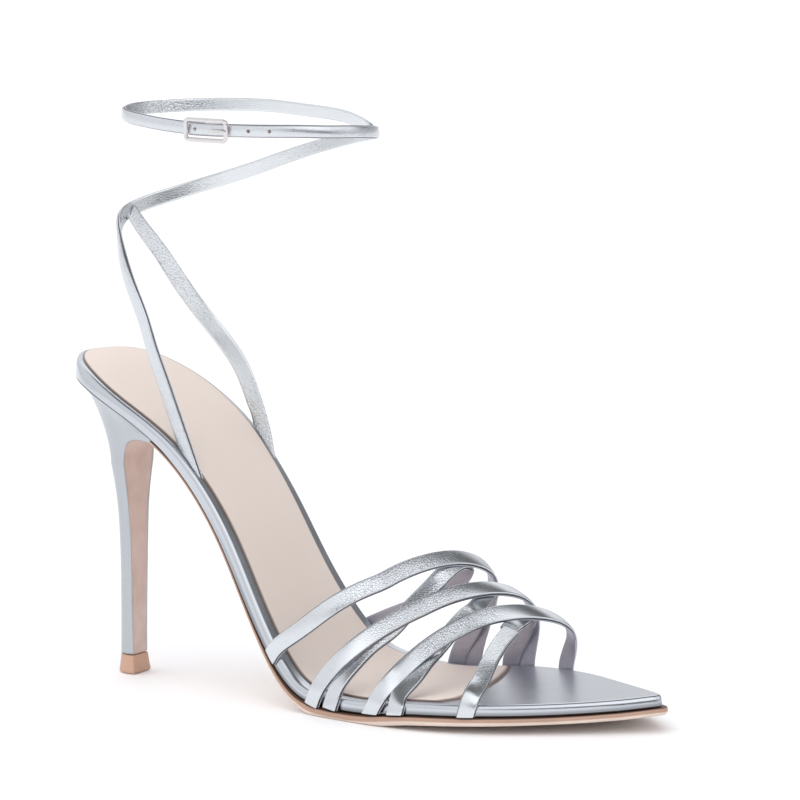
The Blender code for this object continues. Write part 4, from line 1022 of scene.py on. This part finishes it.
def wire_surface(path, radius, closed, square=1.0):
    """Carries a round section, squared up by a power below one, along a path near one upright plane."""
    tangent = np.roll(path, -1, axis=0) - np.roll(path, 1, axis=0) if closed else np.gradient(path, axis=0)
    tangent = unit(tangent)
    ahead = np.array([0.0, -1.0, 0.0])
    one = unit(ahead - (tangent @ ahead)[:, None] * tangent)
    two = np.cross(tangent, one)
    angle = np.linspace(0.0, 2.0 * np.pi, 20, endpoint=False)[:, None, None]
    c, s = (np.sign(wave) * np.abs(wave) ** square for wave in (np.cos(angle), np.sin(angle)))
    thick = np.broadcast_to(radius, len(path))[None, :, None]
    return path[None] + thick * (c * one[None] + s * two[None])


polished, metal_place = new_material("buckle_polished_metal", 1.0)
metal_tree = polished.node_tree
metal_noise = {"Vector": metal_place, "Scale": 900.0, "Detail": 4.0}
metal_cloud = add_node(metal_tree, "TexNoise", metal_noise).outputs["Fac"]
metal_rough = add_node(metal_tree, "MapRange", {"Value": metal_cloud, "To Min": 0.04, "To Max": 0.12})
metal_tints = ((0.0, (0.66, 0.63, 0.63)), (1.0, (0.80, 0.77, 0.77)))
feed(polished, "Base Color", colour_ramp(metal_tree, metal_cloud, metal_tints))
feed(polished, "Roughness", metal_rough.outputs["Result"])

quarter = np.linspace(0.0, 90.0, CORNER_POINTS)
bend = np.radians(np.concatenate([start + quarter for start in (0.0, 90.0, 180.0, 270.0)]))
corner_x = np.repeat([1.0, -1.0, -1.0, 1.0], CORNER_POINTS) * (BUCKLE_LONG / 2.0 - WIRE - CORNER)
corner_z = np.repeat([1.0, 1.0, -1.0, -1.0], CORNER_POINTS) * (BUCKLE_TALL / 2.0 - WIRE - CORNER)
frame_x = corner_x + CORNER * np.cos(bend)
frame_z = corner_z + CORNER * np.sin(bend)
frame_out = BUCKLE_BOW * frame_x ** 2 - BAND_FACE - WIRE
frame_path = BUCKLE_CENTRE + np.stack([frame_x, frame_out, frame_z], axis=1)
frame_grid = wire_surface(frame_path, WIRE, True, square=0.75)
frame_grid = np.concatenate([frame_grid, frame_grid[:, :1]], axis=1)
buckle = grid_mesh("buckle_wire_frame", frame_grid, [polished])
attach(buckle, "root")
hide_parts("buckle_frame")

prong_out = -BAND_FACE - PIN - column(PRONG, 1)
prong_path = BUCKLE_CENTRE + np.stack([column(PRONG, 0), prong_out, np.zeros(len(PRONG))], axis=1)
prong_path = path_spline(prong_path, 60)
prong_taper = PIN * np.concatenate([[0.6, 0.85], np.linspace(1.0, 0.9, 54), [0.82, 0.7, 0.5, 0.25]])
prong = grid_mesh("buckle_wire_prong", wire_surface(prong_path, prong_taper, False), [polished], caps=True)
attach(prong, "root")
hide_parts("buckle_prong")


# STUDIO
# A plain white floor, one soft light from above that the silver doesn't mirror, and a room that is bright
# and dark by direction, so that the silver shows its bright and dark bands.
FLOOR_HALF = 12.0  # metres
FLOOR_LOW = -0.0002
ROOM = (
    # sine of the elevation, then pairs of direction in degrees (0 toward the toe, 90 behind) and brightness
    (0.10, ((-180, 0.80), (-75, 0.80), (-60, 0.30), (-45, 0.12), (-20, 0.14), (0, 0.45), (40, 0.50),
            (60, 0.45), (85, 0.50), (120, 0.60), (180, 0.80))),
    (0.34, ((-180, 0.85), (-100, 0.85), (-62, 1.05), (-45, 1.25), (-18, 1.15), (-4, 0.95), (12, 1.05),
            (23, 1.35), (31, 0.75), (40, 0.36), (54, 0.13), (66, 0.14), (78, 0.40), (92, 0.80),
            (130, 0.85), (180, 0.85))),
    (0.72, ((-180, 0.80), (-100, 0.85), (-62, 1.10), (-45, 1.30), (-18, 1.20), (-4, 0.92), (12, 0.95),
            (21, 1.10), (29, 0.42), (38, 0.24), (54, 0.13), (68, 0.16), (88, 1.10), (130, 1.10),
            (180, 0.80))),
    (0.84, ((-180, 0.70), (-120, 0.70), (-100, 0.25), (-82, 0.30), (-65, 0.95), (-32, 0.90), (-12, 0.20),
            (0, 0.16), (40, 0.18), (66, 0.20), (78, 0.35), (90, 1.15), (120, 1.20), (150, 0.80),
            (180, 0.70))),
    (0.97, ((-180, 0.22), (-60, 0.14), (0, 0.16), (60, 0.20), (100, 0.45), (180, 0.22))),
)
floor_mesh = bpy.data.meshes.new("studio_floor")
corners = ((-1, -1), (1, -1), (1, 1), (-1, 1))
floor_corners = [(x * FLOOR_HALF, y * FLOOR_HALF, FLOOR_LOW) for x, y in corners]
floor_mesh.from_pydata(floor_corners, [], [(0, 1, 2, 3)])
floor = bpy.data.objects.new("studio_floor", floor_mesh)
bpy.context.scene.collection.objects.link(floor)
floor_paint = bpy.data.materials.new("studio_floor_white")
floor_paint.use_nodes = True
floor_paint.node_tree.nodes["Principled BSDF"].inputs["Base Color"].default_value = (0.92, 0.92, 0.93, 1.0)
floor_paint.node_tree.nodes["Principled BSDF"].inputs["Roughness"].default_value = 0.6
floor_mesh.materials.append(floor_paint)

room = bpy.data.worlds.new("studio_room")
room.use_nodes = True
bpy.context.scene.world = room
room_tree = room.node_tree
room_place = add_node(room_tree, "TexCoord").outputs["Generated"]
room_split = add_node(room_tree, "SeparateXYZ", {"Vector": room_place})
room_turn = math_value(room_tree, "ARCTAN2", room_split.outputs["Y"], room_split.outputs["X"])
room_share = add_node(room_tree, "MapRange", {"Value": room_turn, "From Min": -math.pi, "From Max": math.pi})
walls = [colour_ramp(room_tree, room_share.outputs["Result"],
                     [((direction + 180.0) / 360.0, (glow, glow, glow * 1.02)) for direction, glow in glows])
         for _, glows in ROOM]
room_light = walls[0]
for (lower, _), (higher, _), wall in zip(ROOM, ROOM[1:], walls[1:]):
    rise = {"Value": room_split.outputs["Z"], "From Min": lower, "From Max": higher}
    rise = add_node(room_tree, "MapRange", rise, interpolation_type="SMOOTHSTEP").outputs["Result"]
    room_light = mixed_colour(room_tree, rise, room_light, wall)
room_tree.links.new(room_light, room_tree.nodes["Background"].inputs["Color"])
room_tree.nodes["Background"].inputs["Strength"].default_value = 1.15

lamp = bpy.data.lights.new("soft_light_over", "SUN")
lamp.energy = 1.5
lamp.angle = math.radians(75.0)
holder = bpy.data.objects.new("soft_light_over", lamp)
holder.visible_glossy = False
holder.rotation_mode = "QUATERNION"
holder.rotation_quaternion = Vector((-0.15, -0.2, 1.0)).to_track_quat("Z", "Y")
bpy.context.scene.collection.objects.link(holder)

CAMERA_TURN = math.radians(29.63)
CAMERA_RISE = math.radians(8.63)
CAMERA_FAR = 2.0
PICTURE = 800.0  # pixels along each side
PIXELS_PER_MM = 3.13  # at the target
TARGET = np.array([106.0, 0.0, 105.0])
TARGET_PIXEL = (365.3, 374.8)
camera_level = math.cos(CAMERA_RISE)
camera_back = Vector((math.sin(CAMERA_TURN) * camera_level, -math.cos(CAMERA_TURN) * camera_level,
                      math.sin(CAMERA_RISE)))
eye = bpy.data.cameras.new("photo_camera")
eye.sensor_width = 36.0
eye.lens = PIXELS_PER_MM / MM * CAMERA_FAR / PICTURE * eye.sensor_width
eye.shift_x = (PICTURE / 2.0 - TARGET_PIXEL[0]) / PICTURE
eye.shift_y = (TARGET_PIXEL[1] - PICTURE / 2.0) / PICTURE
camera = bpy.data.objects.new("photo_camera", eye)
camera.location = Vector(((TARGET - BOX_MIDDLE) * MM).tolist()) + camera_back * CAMERA_FAR
camera.rotation_mode = "QUATERNION"
camera.rotation_quaternion = camera_back.to_track_quat("Z", "Y")
bpy.context.scene.collection.objects.link(camera)
bpy.context.scene.camera = camera
bpy.context.scene.view_settings.view_transform = "Standard"
